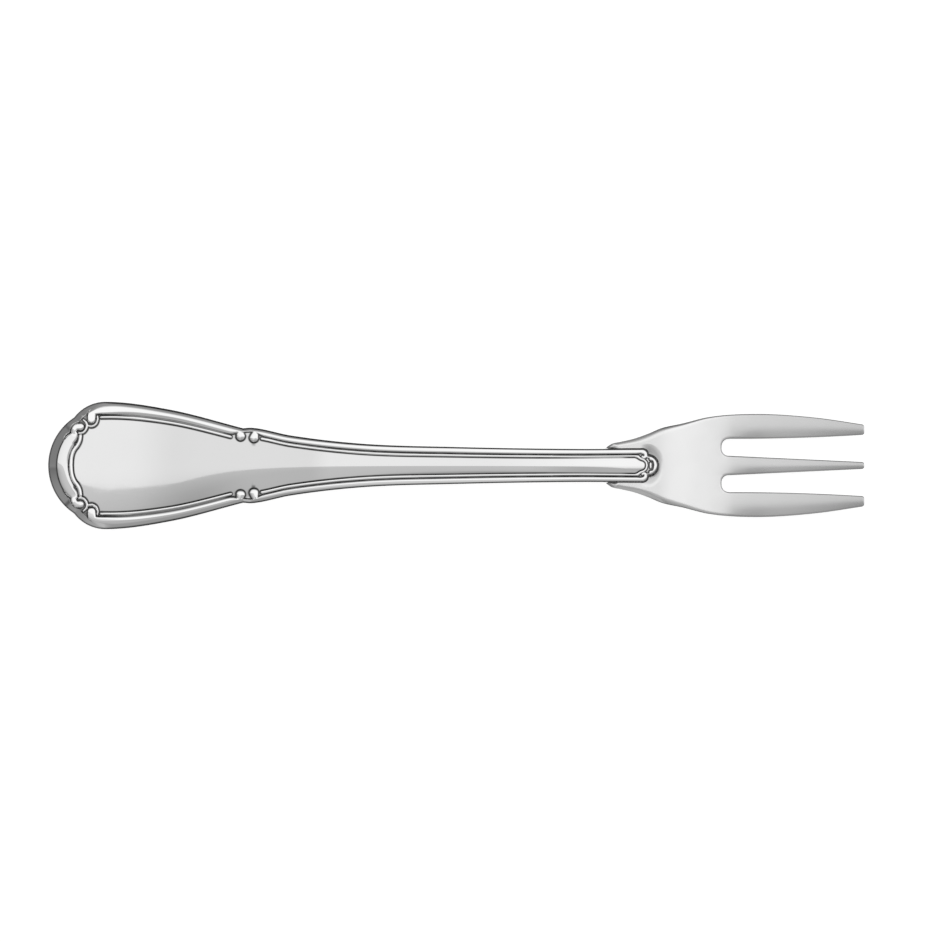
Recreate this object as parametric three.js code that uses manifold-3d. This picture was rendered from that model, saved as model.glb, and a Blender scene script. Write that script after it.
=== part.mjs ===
// Oyster fork in millimetres, +Z up: a struck handle with a thread border, its stem lapped onto a stamped
// head with three tines and hard-soldered to it. The fork lies on its back with the tines towards +X.
import * as THREE from "three";
import { mergeVertices } from "three/addons/utils/BufferGeometryUtils.js";
import Module from "manifold-3d";

const wasm = await Module();
wasm.setup();

// Plan of the handle. Distances named _AT run along the fork from the tip of the broad end.
const HANDLE_LENGTH = 110.6; // to the tip of the scroll that lies on the head
const BROAD_WIDTH = 23.1;
const SHOULDER_SWELL = 1.15; // how far the shoulders stand out beyond the round lobe of the broad end
const SHOULDER_RADIUS = 7.1;
const BODY_AT = 22.0;
const BODY_WIDTH = 20.3;
const WAIST_AT = 35.4; // notch between the two halves of the border
const WAIST_WIDTH = 13.5;
const WAIST_SWELL = 0.1; // how far the stem side stands out again just past the notch
const WAIST_SWELL_LENGTH = 1.5;
const TAPER_AT = 44.0;
const TAPER_WIDTH = 10.9;
const STEM_AT = 57.0;
const STEM_WIDTH = 7.9;
const SLIM_AT = 74.0;
const SLIM_WIDTH = 6.7;
const NECK_AT = 96.0;
const NECK_WIDTH = 6.0;
const STRAP_WIDTH = 6.4;
const SCROLL_RADIUS = 1.85; // round tip of the strap
const VOLUTE_RADIUS = 1.1; // rounded corners of the strap beside that tip
const VOLUTE_SETBACK = 1.8; // from the tip back to the front of those corners

// Side view of the handle
const FLAT_BACK = 24.0; // length of the back that lies flat on the table
const NECK_RISE = 4.5; // height of the back at the lap
const BROAD_THICKNESS = 2.5;
const NECK_THICKNESS = 3.4;
const EDGE_SHARE = 0.45; // height of the handle's widest line, as a share of its thickness
const BACK_ROUND = 1.0; // rounding from the widest line in to the flat back

// Border struck into the front of the handle
const LOBE_RAIL = 3.65; // width of the outer moulding around the lobe
const BROAD_RAIL = 2.15;
const WAIST_RAIL = 1.7;
const STEM_RAIL = 1.2;
const THREAD_WIDTH = 0.8;
const RAIL_FLANK = 0.16; // places across the moulding, as shares of its width
const RAIL_CREST = 0.48;
const RAIL_INSIDE = 0.82;
const RAIL_ROUND = 0.12; // how far its inside is rounded down from the crest
const GROOVE_DEPTH = 0.45; // this and the next two are measured down from the moulding's crest
const THREAD_DROP = 0.15;
const PANEL_DROP = 0.2;
const PANEL_BEVEL = 0.3;
const PANEL_CROWN = 0.35; // how far the panel swells to its middle line
const CROWN_SHARE = 0.75; // how much of that it has half-way there
const KNOB_RADIUS = 0.95; // round ends of the mouldings, where the border breaks
const KNOB_HEIGHT = 0.55;
const LOBE_KNOB = [0.95, -1.9]; // from the corner between lobe and shoulder
const SHOULDER_KNOB = [2.8, -0.35];
const BODY_KNOB = [-0.7, -1.45]; // from the waist's notch
const STEM_KNOB = [1.75, -1.8];
const TIP_RAIL_SHARE = 0.45; // border widths around the strap's tip, as shares of the way to its middle
const TIP_THREAD_SHARE = 0.2;

// Plan of the head. Distances named _FROM_TAIL run from the end of its tail, which lies under the strap.
const HEAD_LENGTH = 47.0;
const LAP_LENGTH = 9.6; // how far the strap lies on the head
const TAIL_WIDTH = 6.9;
const SHOULDERS_FROM_TAIL = 1.7;
const SHOULDERS_WIDTH = 8.4;
const THROAT_FROM_TAIL = 5.6;
const THROAT_WIDTH = 10.0;
const ROOT_FROM_TAIL = 10.8;
const ROOT_WIDTH = 14.0;
const SWEEP_FROM_TAIL = 14.0;
const SWEEP_WIDTH = 15.1;
const HIPS_FROM_TAIL = 19.0;
const HIPS_WIDTH = 17.5;
const WIDEST_FROM_TAIL = 27.4;
const HEAD_WIDTH = 18.6;
const TINES_FROM_TAIL = 38.0;
const TINES_WIDTH = 17.3; // over the outer tines, half-way along
const TINE_SPREAD = 14.8; // over the outer tines at their tips

const TINE_LENGTH = 25.8;
const MIDDLE_TINE_ROOT = 3.5;
const MIDDLE_TINE_TIP = 1.2;
const SLOT_ROOT = 3.1; // width of each slot at its rounded end
const SLOT_TIP = 5.0;
const SLOT_BOW = 0.2; // how far the slots' outer sides bow towards the middle tine

// Side view of the head
const HEAD_THICKNESS = 1.7;
const TIP_THICKNESS = 1.1;
const BELLY_FROM_TAIL = 23.5; // where the head touches the table
const TIP_RISE = 4.2;
const EDGE_BEVEL = 0.4;
const SOLDER_FILM = 0.1;

// How finely curves are cut
const BROAD_STEPS = 22;
const BODY_STEPS = 10;
const STEM_STEPS = 24;
const TIP_STEPS = 12;
const HEAD_STEPS = 40;
const HEAD_LANES = 8;
const SLOT_STEPS = 8;
const KNOB_STEPS = 12;

// Places that follow from the sizes above
const TAIL_START = HANDLE_LENGTH - LAP_LENGTH;
const OVERALL_LENGTH = TAIL_START + HEAD_LENGTH;
const LAP_HEIGHT = NECK_RISE + HEAD_THICKNESS;
const END_RADIUS = BROAD_WIDTH / 2 - SHOULDER_SWELL;
const BROAD_POLE = new THREE.Vector2(END_RADIUS, 0);
const SCROLL_CENTRE = new THREE.Vector2(HANDLE_LENGTH - SCROLL_RADIUS, 0);
const VOLUTE_CENTRE = new THREE.Vector2(
  HANDLE_LENGTH - VOLUTE_SETBACK - VOLUTE_RADIUS,
  STRAP_WIDTH / 2 - VOLUTE_RADIUS,
);
const TIP_POLE = new THREE.Vector2(VOLUTE_CENTRE.x, 0);

const SILVER = { color: 0xc9c9c7, roughness: 0.18, metalness: 1 };
const SOLDER = { color: 0x9d9d98, roughness: 0.45, metalness: 1 };

const { clamp, lerp, smoothstep } = THREE.MathUtils;

// A curve y(x) through [x, y] points
function curveThrough(points, startEnding = THREE.ZeroCurvatureEnding) {
  const xs = points.map(([x]) => x);
  const ys = points.map(([, y]) => y);
  const interpolant = new THREE.CubicInterpolant(xs, ys, 1);
  interpolant.settings = { endingStart: startEnding, endingEnd: THREE.ZeroCurvatureEnding };
  return (x) => interpolant.evaluate(clamp(x, xs[0], xs[xs.length - 1]))[0];
}

// A solid ready for cutting and joining: points that meet are merged and collapsed triangles are dropped
function toManifold(geometry) {
  geometry.deleteAttribute("normal");
  geometry.deleteAttribute("uv");
  const merged = mergeVertices(geometry);
  const index = merged.index.array;
  const triangles = [];
  for (let i = 0; i < index.length; i += 3) {
    const [a, b, c] = [index[i], index[i + 1], index[i + 2]];
    if (a !== b && b !== c && c !== a) triangles.push(a, b, c);
  }
  return new wasm.Manifold(
    new wasm.Mesh({
      numProp: 3,
      vertProperties: new Float32Array(merged.attributes.position.array),
      triVerts: new Uint32Array(triangles),
    }),
  );
}

function toMesh(name, solid, finish) {
  const { vertProperties, triVerts } = solid.getMesh();
  const geometry = new THREE.BufferGeometry();
  geometry.setAttribute("position", new THREE.BufferAttribute(vertProperties, 3));
  geometry.setIndex(new THREE.BufferAttribute(triVerts, 1));
  geometry.computeVertexNormals();
  const mesh = new THREE.Mesh(geometry, new THREE.MeshStandardMaterial(finish));
  mesh.name = name;
  return mesh;
}

// Half widths of the handle between the broad end and the strap's tip
const bodyHalfWidth = curveThrough(
  [
    [END_RADIUS, BROAD_WIDTH / 2],
    [BODY_AT, BODY_WIDTH / 2],
    [WAIST_AT, WAIST_WIDTH / 2],
  ],
  THREE.ZeroSlopeEnding,
);
const stemHalfWidth = curveThrough([
  [WAIST_AT, WAIST_WIDTH / 2],
  [WAIST_AT + WAIST_SWELL_LENGTH, WAIST_WIDTH / 2 + WAIST_SWELL],
  [TAPER_AT, TAPER_WIDTH / 2],
  [STEM_AT, STEM_WIDTH / 2],
  [SLIM_AT, SLIM_WIDTH / 2],
  [NECK_AT, NECK_WIDTH / 2],
  [VOLUTE_CENTRE.x, STRAP_WIDTH / 2],
]);
const railWidth = curveThrough([
  [END_RADIUS, BROAD_RAIL],
  [WAIST_AT, WAIST_RAIL],
  [STEM_AT, STEM_RAIL],
  [HANDLE_LENGTH, STEM_RAIL],
]);

// Side view: height of the back and thickness, at a distance along the handle
const archShare = (x) => smoothstep(x, FLAT_BACK, TAIL_START);
const backHeight = (x) => NECK_RISE * archShare(x);
const handleThickness = (x) => lerp(BROAD_THICKNESS, NECK_THICKNESS, archShare(x));

// Distance along a ray from a pole to the far side of a circle, or zero where the ray misses it
function reachToCircle(pole, direction, { centre, radius }) {
  const toCentre = centre.clone().sub(pole);
  const along = toCentre.dot(direction);
  const square = radius * radius - toCentre.lengthSq() + along * along;
  return square > 0 ? along + Math.sqrt(square) : 0;
}

// Where two circles cross, on the left when looking from the first centre to the second
function leftCrossing(a, b) {
  const apart = b.centre.clone().sub(a.centre);
  const distance = apart.length();
  const along = (distance * distance + a.radius * a.radius - b.radius * b.radius) / (2 * distance);
  const aside = Math.sqrt(a.radius * a.radius - along * along);
  const unit = apart.divideScalar(distance);
  const left = new THREE.Vector2(-unit.y, unit.x);
  return a.centre.clone().addScaledVector(unit, along).addScaledVector(left, aside);
}

// The circles that round the two ends of the handle, and the corners between them
const LOBE = { centre: BROAD_POLE, radius: END_RADIUS };
const SHOULDER = {
  centre: new THREE.Vector2(END_RADIUS, BROAD_WIDTH / 2 - SHOULDER_RADIUS),
  radius: SHOULDER_RADIUS,
};
const SCROLL = { centre: SCROLL_CENTRE, radius: SCROLL_RADIUS };
const VOLUTE = { centre: VOLUTE_CENTRE, radius: VOLUTE_RADIUS };
const LOBE_CORNER = leftCrossing(LOBE, SHOULDER);
const SCROLL_CORNER = leftCrossing(VOLUTE, SCROLL);
const WAIST_NOTCH = new THREE.Vector2(WAIST_AT, WAIST_WIDTH / 2);

// Stations on a rounded end made of two circles: each has a point on the edge and the pole as its foot.
// The corner where the circles cross is one of the stations, so that it stays crisp.
function fanStations({ pole, circles, corner, from, to, steps, border }) {
  const cornerAngle = Math.atan2(corner.y - pole.y, corner.x - pole.x);
  const cornerStep = Math.round((steps * (cornerAngle - from)) / (to - from));
  return Array.from({ length: steps + 1 }, (_, step) => {
    const angle =
      step <= cornerStep
        ? lerp(from, cornerAngle, step / cornerStep)
        : lerp(cornerAngle, to, (step - cornerStep) / (steps - cornerStep));
    const direction = new THREE.Vector2(Math.cos(angle), Math.sin(angle));
    const reach = Math.max(...circles.map((circle) => reachToCircle(pole, direction, circle)));
    const edge = pole.clone().addScaledVector(direction, reach);
    return { edge, foot: pole, ...border(step > cornerStep, reach) };
  });
}

// Stations on the straight run of the handle: the foot lies on the middle line.
function runStations(start, end, steps, halfWidth) {
  return Array.from({ length: steps }, (_, step) => {
    const x = lerp(start, end, (step + 1) / steps);
    return {
      edge: new THREE.Vector2(x, halfWidth(x)),
      foot: new THREE.Vector2(x, 0),
      rail: railWidth(x),
      thread: THREAD_WIDTH,
    };
  });
}

// The upper half of the handle's outline, from the tip of the broad end to the tip of the strap
function handleStations() {
  const broadEnd = fanStations({
    pole: BROAD_POLE,
    circles: [LOBE, SHOULDER],
    corner: LOBE_CORNER,
    from: Math.PI,
    to: Math.PI / 2,
    steps: BROAD_STEPS,
    border: (pastCorner) => ({ rail: pastCorner ? BROAD_RAIL : LOBE_RAIL, thread: THREAD_WIDTH }),
  });
  const tip = fanStations({
    pole: TIP_POLE,
    circles: [VOLUTE, SCROLL],
    corner: SCROLL_CORNER,
    from: Math.PI / 2,
    to: 0,
    steps: TIP_STEPS,
    border: (_, reach) => ({ rail: TIP_RAIL_SHARE * reach, thread: TIP_THREAD_SHARE * reach }),
  });
  return [
    ...broadEnd,
    ...runStations(BROAD_POLE.x, WAIST_AT, BODY_STEPS, bodyHalfWidth),
    ...runStations(WAIST_AT, TIP_POLE.x, STEM_STEPS, stemHalfWidth).slice(0, -1),
    ...tip,
  ];
}

// The handle's section as rings, from the middle of the back, around the edge, to the middle of the front.
// Each ring's inset runs in from the edge, and its height up from the back.
const HANDLE_RINGS = [
  { inset: ({ reach }) => reach, height: () => 0 },
  { inset: () => BACK_ROUND, height: () => 0 },
  { inset: () => BACK_ROUND / 4, height: (thick) => (EDGE_SHARE * thick) / 3 },
  { inset: () => 0, height: (thick) => EDGE_SHARE * thick },
  { inset: ({ rail }) => RAIL_FLANK * rail, height: (thick) => thick - GROOVE_DEPTH },
  { inset: ({ rail }) => RAIL_CREST * rail, height: (thick) => thick },
  { inset: ({ rail }) => RAIL_INSIDE * rail, height: (thick) => thick - RAIL_ROUND },
  { inset: ({ rail }) => rail, height: (thick) => thick - GROOVE_DEPTH },
  { inset: ({ rail, thread }) => rail + thread / 2, height: (thick) => thick - THREAD_DROP },
  { inset: ({ rail, thread }) => rail + thread, height: (thick) => thick - GROOVE_DEPTH },
  { inset: ({ rail, thread }) => rail + thread + PANEL_BEVEL, height: (thick) => thick - PANEL_DROP },
  {
    inset: ({ rail, thread, reach }) => (rail + thread + reach) / 2,
    height: (thick) => thick - PANEL_DROP + CROWN_SHARE * PANEL_CROWN,
  },
  { inset: ({ reach }) => reach, height: (thick) => thick - PANEL_DROP + PANEL_CROWN },
];

// A closed net of rings, each point of which is moved to where place() puts it
function ringSolid(ringCount, stationCount, place) {
  const profile = Array.from({ length: ringCount }, (_, ring) => {
    const angle = (Math.PI * ring) / (ringCount - 1);
    return new THREE.Vector2(Math.sin(angle), -Math.cos(angle));
  });
  const geometry = new THREE.LatheGeometry(profile, stationCount);
  const position = geometry.attributes.position;
  for (let index = 0; index < position.count; index += 1) {
    const point = place(index % ringCount, Math.floor(index / ringCount) % stationCount);
    position.setXYZ(index, point.x, point.y, point.z);
  }
  return toManifold(geometry);
}

// The whole handle before the lap is cut from beneath its strap
function handleBlank() {
  const upper = handleStations();
  const last = upper.length - 1;
  return ringSolid(HANDLE_RINGS.length, 2 * last, (ring, step) => {
    const side = step <= last ? -1 : 1;
    const { edge, foot, rail, thread } = upper[step <= last ? step : 2 * last - step];
    const reach = edge.distanceTo(foot);
    const { inset, height } = HANDLE_RINGS[ring];
    const plan = edge.clone().lerp(foot, inset({ rail, thread, reach }) / reach);
    const z = backHeight(plan.x) + height(handleThickness(plan.x));
    return new THREE.Vector3(plan.x, side * plan.y, z);
  });
}

// Round knobs where the border's mouldings end, on both sides of the handle
function borderKnobs() {
  const places = [
    [LOBE_CORNER, LOBE_KNOB],
    [LOBE_CORNER, SHOULDER_KNOB],
    [WAIST_NOTCH, BODY_KNOB],
    [WAIST_NOTCH, STEM_KNOB],
  ];
  return places.flatMap(([from, [dx, dy]]) =>
    [1, -1].map((side) => {
      const x = from.x + dx;
      const crest = backHeight(x) + handleThickness(x);
      const geometry = new THREE.SphereGeometry(1, KNOB_STEPS, KNOB_STEPS / 2);
      geometry.rotateX(Math.PI / 2).scale(KNOB_RADIUS, KNOB_RADIUS, KNOB_HEIGHT);
      geometry.translate(x, side * (from.y + dy), crest - KNOB_HEIGHT);
      return toManifold(geometry);
    }),
  );
}

// A box from the lap's butt end forwards, between two heights, wider than the fork
function lapBox(startX, bottom, top) {
  const length = OVERALL_LENGTH - startX;
  const geometry = new THREE.BoxGeometry(length, BROAD_WIDTH, top - bottom);
  geometry.translate(startX + length / 2, 0, (top + bottom) / 2);
  return toManifold(geometry);
}

// Plan and side view of the head, at a distance from the tail's end
const headHalfWidth = curveThrough([
  [0, TAIL_WIDTH / 2],
  [SHOULDERS_FROM_TAIL, SHOULDERS_WIDTH / 2],
  [THROAT_FROM_TAIL, THROAT_WIDTH / 2],
  [ROOT_FROM_TAIL, ROOT_WIDTH / 2],
  [SWEEP_FROM_TAIL, SWEEP_WIDTH / 2],
  [HIPS_FROM_TAIL, HIPS_WIDTH / 2],
  [WIDEST_FROM_TAIL, HEAD_WIDTH / 2],
  [TINES_FROM_TAIL, TINES_WIDTH / 2],
  [HEAD_LENGTH, TINE_SPREAD / 2],
]);

function bellyHeight(along) {
  const drop = NECK_RISE * (1 - smoothstep(along, LAP_LENGTH, BELLY_FROM_TAIL));
  const tineShare = Math.max(0, (along - BELLY_FROM_TAIL) / (HEAD_LENGTH - BELLY_FROM_TAIL));
  return drop + TIP_RISE * tineShare * tineShare;
}

const headThickness = (along) =>
  lerp(HEAD_THICKNESS, TIP_THICKNESS, smoothstep(along, LAP_LENGTH, HEAD_LENGTH));

// The head before its slots are cut, as a box bent to the plan and side view with its long edges bevelled
function headBlank() {
  const geometry = new THREE.BoxGeometry(1, 2, 2, HEAD_STEPS, HEAD_LANES, 2);
  const position = geometry.attributes.position;
  for (let index = 0; index < position.count; index += 1) {
    const along = (position.getX(index) + 0.5) * HEAD_LENGTH;
    const across = position.getY(index);
    const through = position.getZ(index);
    const corner = Math.abs(across) === 1 && Math.abs(through) === 1;
    const halfWidth = headHalfWidth(along) - (corner ? EDGE_BEVEL : 0);
    const halfThick = headThickness(along) / 2;
    position.setXYZ(
      index,
      TAIL_START + along,
      across * halfWidth,
      bellyHeight(along) + halfThick + through * halfThick,
    );
  }
  return toManifold(geometry);
}

// One slot between two tines: side 1 cuts it at +Y, side -1 at -Y
function slotCutter(side) {
  const tips = OVERALL_LENGTH;
  const beyond = tips + SLOT_ROOT;
  const start = tips - TINE_LENGTH + SLOT_ROOT / 2;
  const innerRoot = MIDDLE_TINE_ROOT / 2;
  const outerRoot = innerRoot + SLOT_ROOT;
  const innerTip = MIDDLE_TINE_TIP / 2;
  const outerTip = innerTip + SLOT_TIP;
  const bowed = (outerRoot + outerTip) / 2 - 2 * SLOT_BOW;
  const shape = new THREE.Shape();
  shape.moveTo(tips, innerTip);
  shape.lineTo(beyond, innerTip);
  shape.lineTo(beyond, outerTip);
  shape.lineTo(tips, outerTip);
  shape.quadraticCurveTo((start + tips) / 2, bowed, start, outerRoot);
  shape.absarc(start, (innerRoot + outerRoot) / 2, SLOT_ROOT / 2, Math.PI / 2, (3 * Math.PI) / 2, false);
  const depth = 2 * (NECK_RISE + TIP_RISE + HEAD_THICKNESS);
  const options = { depth, bevelEnabled: false, curveSegments: SLOT_STEPS };
  const geometry = new THREE.ExtrudeGeometry(shape, options);
  geometry.translate(0, 0, -depth / 2);
  if (side < 0) geometry.rotateX(Math.PI);
  return toManifold(geometry);
}

const blank = borderKnobs().reduce((whole, knob) => whole.add(knob), handleBlank());
const strapBottom = LAP_HEIGHT + SOLDER_FILM;
const handle = blank.subtract(lapBox(TAIL_START - SOLDER_FILM, -NECK_RISE, strapBottom));
const solderSeam = blank.intersect(lapBox(TAIL_START, LAP_HEIGHT, strapBottom));
const forkHead = headBlank().subtract(slotCutter(1)).subtract(slotCutter(-1));

const fork = new THREE.Group();
fork.name = "oyster_fork";
fork.add(toMesh("handle", handle, SILVER));
fork.add(toMesh("solder_seam", solderSeam, SOLDER));
fork.add(toMesh("fork_head", forkHead, SILVER));
fork.position.x = -OVERALL_LENGTH / 2;

export default fork;
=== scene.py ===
"""Looks of an oyster fork: a struck handle with a thread border, a stamped head with three tines and the
solder between them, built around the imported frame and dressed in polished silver."""

import functools
import logging
import math
from dataclasses import dataclass
from enum import Enum
from typing import Callable, Sequence

import bmesh
import bpy
import numpy as np
from mathutils import Matrix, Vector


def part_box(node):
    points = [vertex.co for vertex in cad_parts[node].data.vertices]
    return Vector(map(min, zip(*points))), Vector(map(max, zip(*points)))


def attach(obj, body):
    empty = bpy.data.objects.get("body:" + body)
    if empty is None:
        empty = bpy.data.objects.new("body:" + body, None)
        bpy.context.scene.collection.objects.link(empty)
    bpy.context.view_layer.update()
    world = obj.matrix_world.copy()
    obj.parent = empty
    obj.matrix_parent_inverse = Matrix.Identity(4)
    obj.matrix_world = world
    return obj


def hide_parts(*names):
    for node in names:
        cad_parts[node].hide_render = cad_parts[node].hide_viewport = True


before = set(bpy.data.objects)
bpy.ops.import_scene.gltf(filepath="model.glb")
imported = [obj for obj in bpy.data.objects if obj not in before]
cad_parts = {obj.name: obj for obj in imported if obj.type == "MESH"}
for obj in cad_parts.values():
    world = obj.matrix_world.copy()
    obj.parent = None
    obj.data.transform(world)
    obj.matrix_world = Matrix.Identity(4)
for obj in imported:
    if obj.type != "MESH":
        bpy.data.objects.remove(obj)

logging.basicConfig(level=logging.INFO, format="%(message)s")
log = logging.getLogger("oyster_fork")

MM = 0.001
# negative relief values also mark painted shade: the handle's edge, lobe corner and back, and the head's
# hollow and underside; the solder's top is darkened all over
RELIEF = "relief"  # attribute: 1 on a ridge's crest, 0 on open metal, -1 at the bottom of a struck line
BODY = "root"  # the fork has no joints, so every piece rides on this body

Curve = Callable[[np.ndarray], np.ndarray]
Points = tuple[tuple[float, ...], ...]
Span = tuple[float, float]
Stops = Sequence[tuple[float | np.ndarray, int]]  # places, each with the number of steps to the next one
Circle = tuple[tuple[float, float], float]  # centre and radius
Colour = tuple[float, float, float, float]
Ramp = tuple[float, float, float, float]  # low and high end, and the values there


class Node(Enum):
    """Nodes of the frame that the pieces stand for."""

    HANDLE = "handle"
    HEAD = "fork_head"
    SOLDER = "solder_seam"


class Slot(Enum):
    """Material slots of the record."""

    HANDLE = "handle_silver"
    HEAD = "head_silver"
    SOLDER = "solder"


def node_box(node: Node) -> np.ndarray:
    """Lowest and highest corner of a node of the frame, in millimetres."""
    return np.round(np.array(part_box(node.value)) / MM, 3)


HANDLE_BOX = node_box(Node.HANDLE)
HEAD_BOX = node_box(Node.HEAD)
SOLDER_BOX = node_box(Node.SOLDER)
BROAD_TIP = HANDLE_BOX[0, 0]  # places along the handle are counted from here
TAIL_AT = HEAD_BOX[0, 0] - BROAD_TIP  # where the head's tail ends, under the strap
STRAP_TIP = 110.6  # where the strap's round tip ends, which the frame's facets cut a little short
NECK_RISE = 4.5  # height of the handle's back and of the head's underside at the lap


# Curves and distances in the plan, in millimetres

def curve_through(points: Points, flat_start: bool = False) -> Curve:
    """Makes a smooth curve y(x) through points.

    Args:
        points: (x, y) points in order of x.
        flat_start: whether the curve starts level.

    Returns:
        A function of x, level outside the points.
    """
    xs, ys = np.array(points, float).T
    secants = np.diff(ys) / np.diff(xs)
    first = 0.0 if flat_start else secants[0]
    slopes = np.concatenate(([first], (secants[:-1] + secants[1:]) / 2, [secants[-1]]))

    def value(x: np.ndarray) -> np.ndarray:
        """Height of the curve.

        Args:
            x: places along it.

        Returns:
            The height at each place.
        """
        x = np.clip(x, xs[0], xs[-1])
        i = np.clip(np.searchsorted(xs, x, side="right") - 1, 0, len(xs) - 2)
        step = xs[i + 1] - xs[i]
        t = (x - xs[i]) / step
        start = (1 + 2 * t) * ys[i] + t * step * slopes[i]
        end = (3 - 2 * t) * ys[i + 1] + (t - 1) * step * slopes[i + 1]
        return (1 - t) ** 2 * start + t**2 * end

    return value


def smooth_path(points: Points, steps: int = 6) -> np.ndarray:
    """Rounds a path through a few points.

    Args:
        points: corners of the path, with any number of values each.
        steps: pieces that each stretch between two corners is cut into.

    Returns:
        One row for each point of the rounded path.
    """
    corners = np.array(points, float)
    knots = np.arange(len(corners))
    fine = np.linspace(0, len(corners) - 1, (len(corners) - 1) * steps + 1)
    columns = [curve_through(tuple(zip(knots, column)))(fine) for column in corners.T]
    return np.stack(columns, axis=1)


def on_circle(circle: Circle, angles: np.ndarray) -> np.ndarray:
    """Points of a circle.

    Args:
        circle: the circle.
        angles: their angles in degrees.

    Returns:
        One row of (x, y) for each angle.
    """
    (x, y), radius = circle
    turn = np.radians(angles)
    return np.stack([x + radius * np.cos(turn), y + radius * np.sin(turn)], axis=1)


def reach_to(circle: Circle, pole: float, rays: np.ndarray) -> np.ndarray:
    """Distance from a pole to the far side of a circle.

    Args:
        circle: the circle.
        pole: place of the pole on the middle line.
        rays: directions from the pole, in radians.

    Returns:
        The distance along each ray, or 0 where it misses the circle.
    """
    (x, y), radius = circle
    along = (x - pole) * np.cos(rays) + y * np.sin(rays)
    square = radius**2 - (x - pole) ** 2 - y**2 + along**2
    return np.where(square > 0, along + np.sqrt(np.maximum(square, 0)), 0)


def round_end(pole: float, angles: np.ndarray, circles: Sequence[Circle]) -> np.ndarray:
    """The edge of a round end that is made of circles.

    Args:
        pole: place on the middle line that rays to the edge start from.
        angles: the rays' angles in degrees.
        circles: the circles.

    Returns:
        The ends of the rays, one row of (x, y) each.
    """
    rays = np.radians(angles)
    reach = np.max([reach_to(circle, pole, rays) for circle in circles], axis=0)
    return np.stack([pole + reach * np.cos(rays), reach * np.sin(rays)], axis=1)


def divide(stops: Stops) -> np.ndarray:
    """Cuts a line into even steps between stops, and leaves the last stop out."""
    pairs = zip(stops, stops[1:])
    return np.concatenate([np.linspace(at, end, steps, endpoint=False) for (at, steps), (end, _) in pairs])


def crowded(count: int, power: float) -> np.ndarray:
    """Shares from 0 to 1 that lie closer together towards 1."""
    return 1 - (1 - np.linspace(0, 1, count)) ** power


def blend(first: np.ndarray, second: np.ndarray, share: np.ndarray) -> np.ndarray:
    """A value between two, which is the first where the share is 0 and the second where it is 1."""
    return first * (1 - share) + second * share


def smoothstep(value: np.ndarray, low: float, high: float) -> np.ndarray:
    """A smooth rise from 0 at low to 1 at high."""
    t = np.clip((value - low) / (high - low), 0, 1)
    return t * t * (3 - 2 * t)


def window(value: np.ndarray, rise: Span, fall: Span) -> np.ndarray:
    """A smooth rise from 0 to 1, and a smooth fall back to 0."""
    return smoothstep(value, *rise) * (1 - smoothstep(value, *fall))


def soft_min(first: np.ndarray, second: np.ndarray, width: float) -> np.ndarray:
    """The lower of two heights, rounded where they cross."""
    return (first + second - np.sqrt((first - second) ** 2 + width**2)) / 2


def edge_fall(inset: np.ndarray, width: np.ndarray, slope: np.ndarray, roundness: np.ndarray) -> np.ndarray:
    """How far a rounded edge has fallen below its crest.

    Args:
        inset: distance in from the edge.
        width: distance in from the edge at which the fall starts.
        slope: how steep the fall is at the edge, as a tangent.
        roundness: 1 for a flat slope, more for a rounder one.

    Returns:
        The fall at each point.
    """
    left = 1 - np.minimum(inset / width, 1)
    return slope * width / roundness * left**roundness


def measure_path(plan: np.ndarray, path: np.ndarray) -> tuple[np.ndarray, np.ndarray]:
    """Measures points of the plan against a path that has a half width.

    Args:
        plan: points, one row of (x, y) each.
        path: the path, one row of (x, y, half width) for each of its points.

    Returns:
        Each point's distance as a share of the half width, and its distance outside the half width.
    """
    share = np.full(len(plan), np.inf)
    outside = np.full(len(plan), np.inf)
    for start, end in zip(path[:-1], path[1:]):
        step = end[:2] - start[:2]
        t = np.clip((plan - start[:2]) @ step / (step @ step), 0, 1)
        distance = np.linalg.norm(plan - start[:2] - t[:, None] * step, axis=1)
        half = start[2] + t * (end[2] - start[2])
        share = np.minimum(share, distance / half)
        outside = np.minimum(outside, distance - half)
    return share, outside


def distance_to(plan: np.ndarray, line: np.ndarray) -> np.ndarray:
    """Distance of points of the plan to a line of (x, y) points."""
    return measure_path(plan, np.column_stack([line, np.ones(len(line))]))[0]


# Meshes

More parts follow.
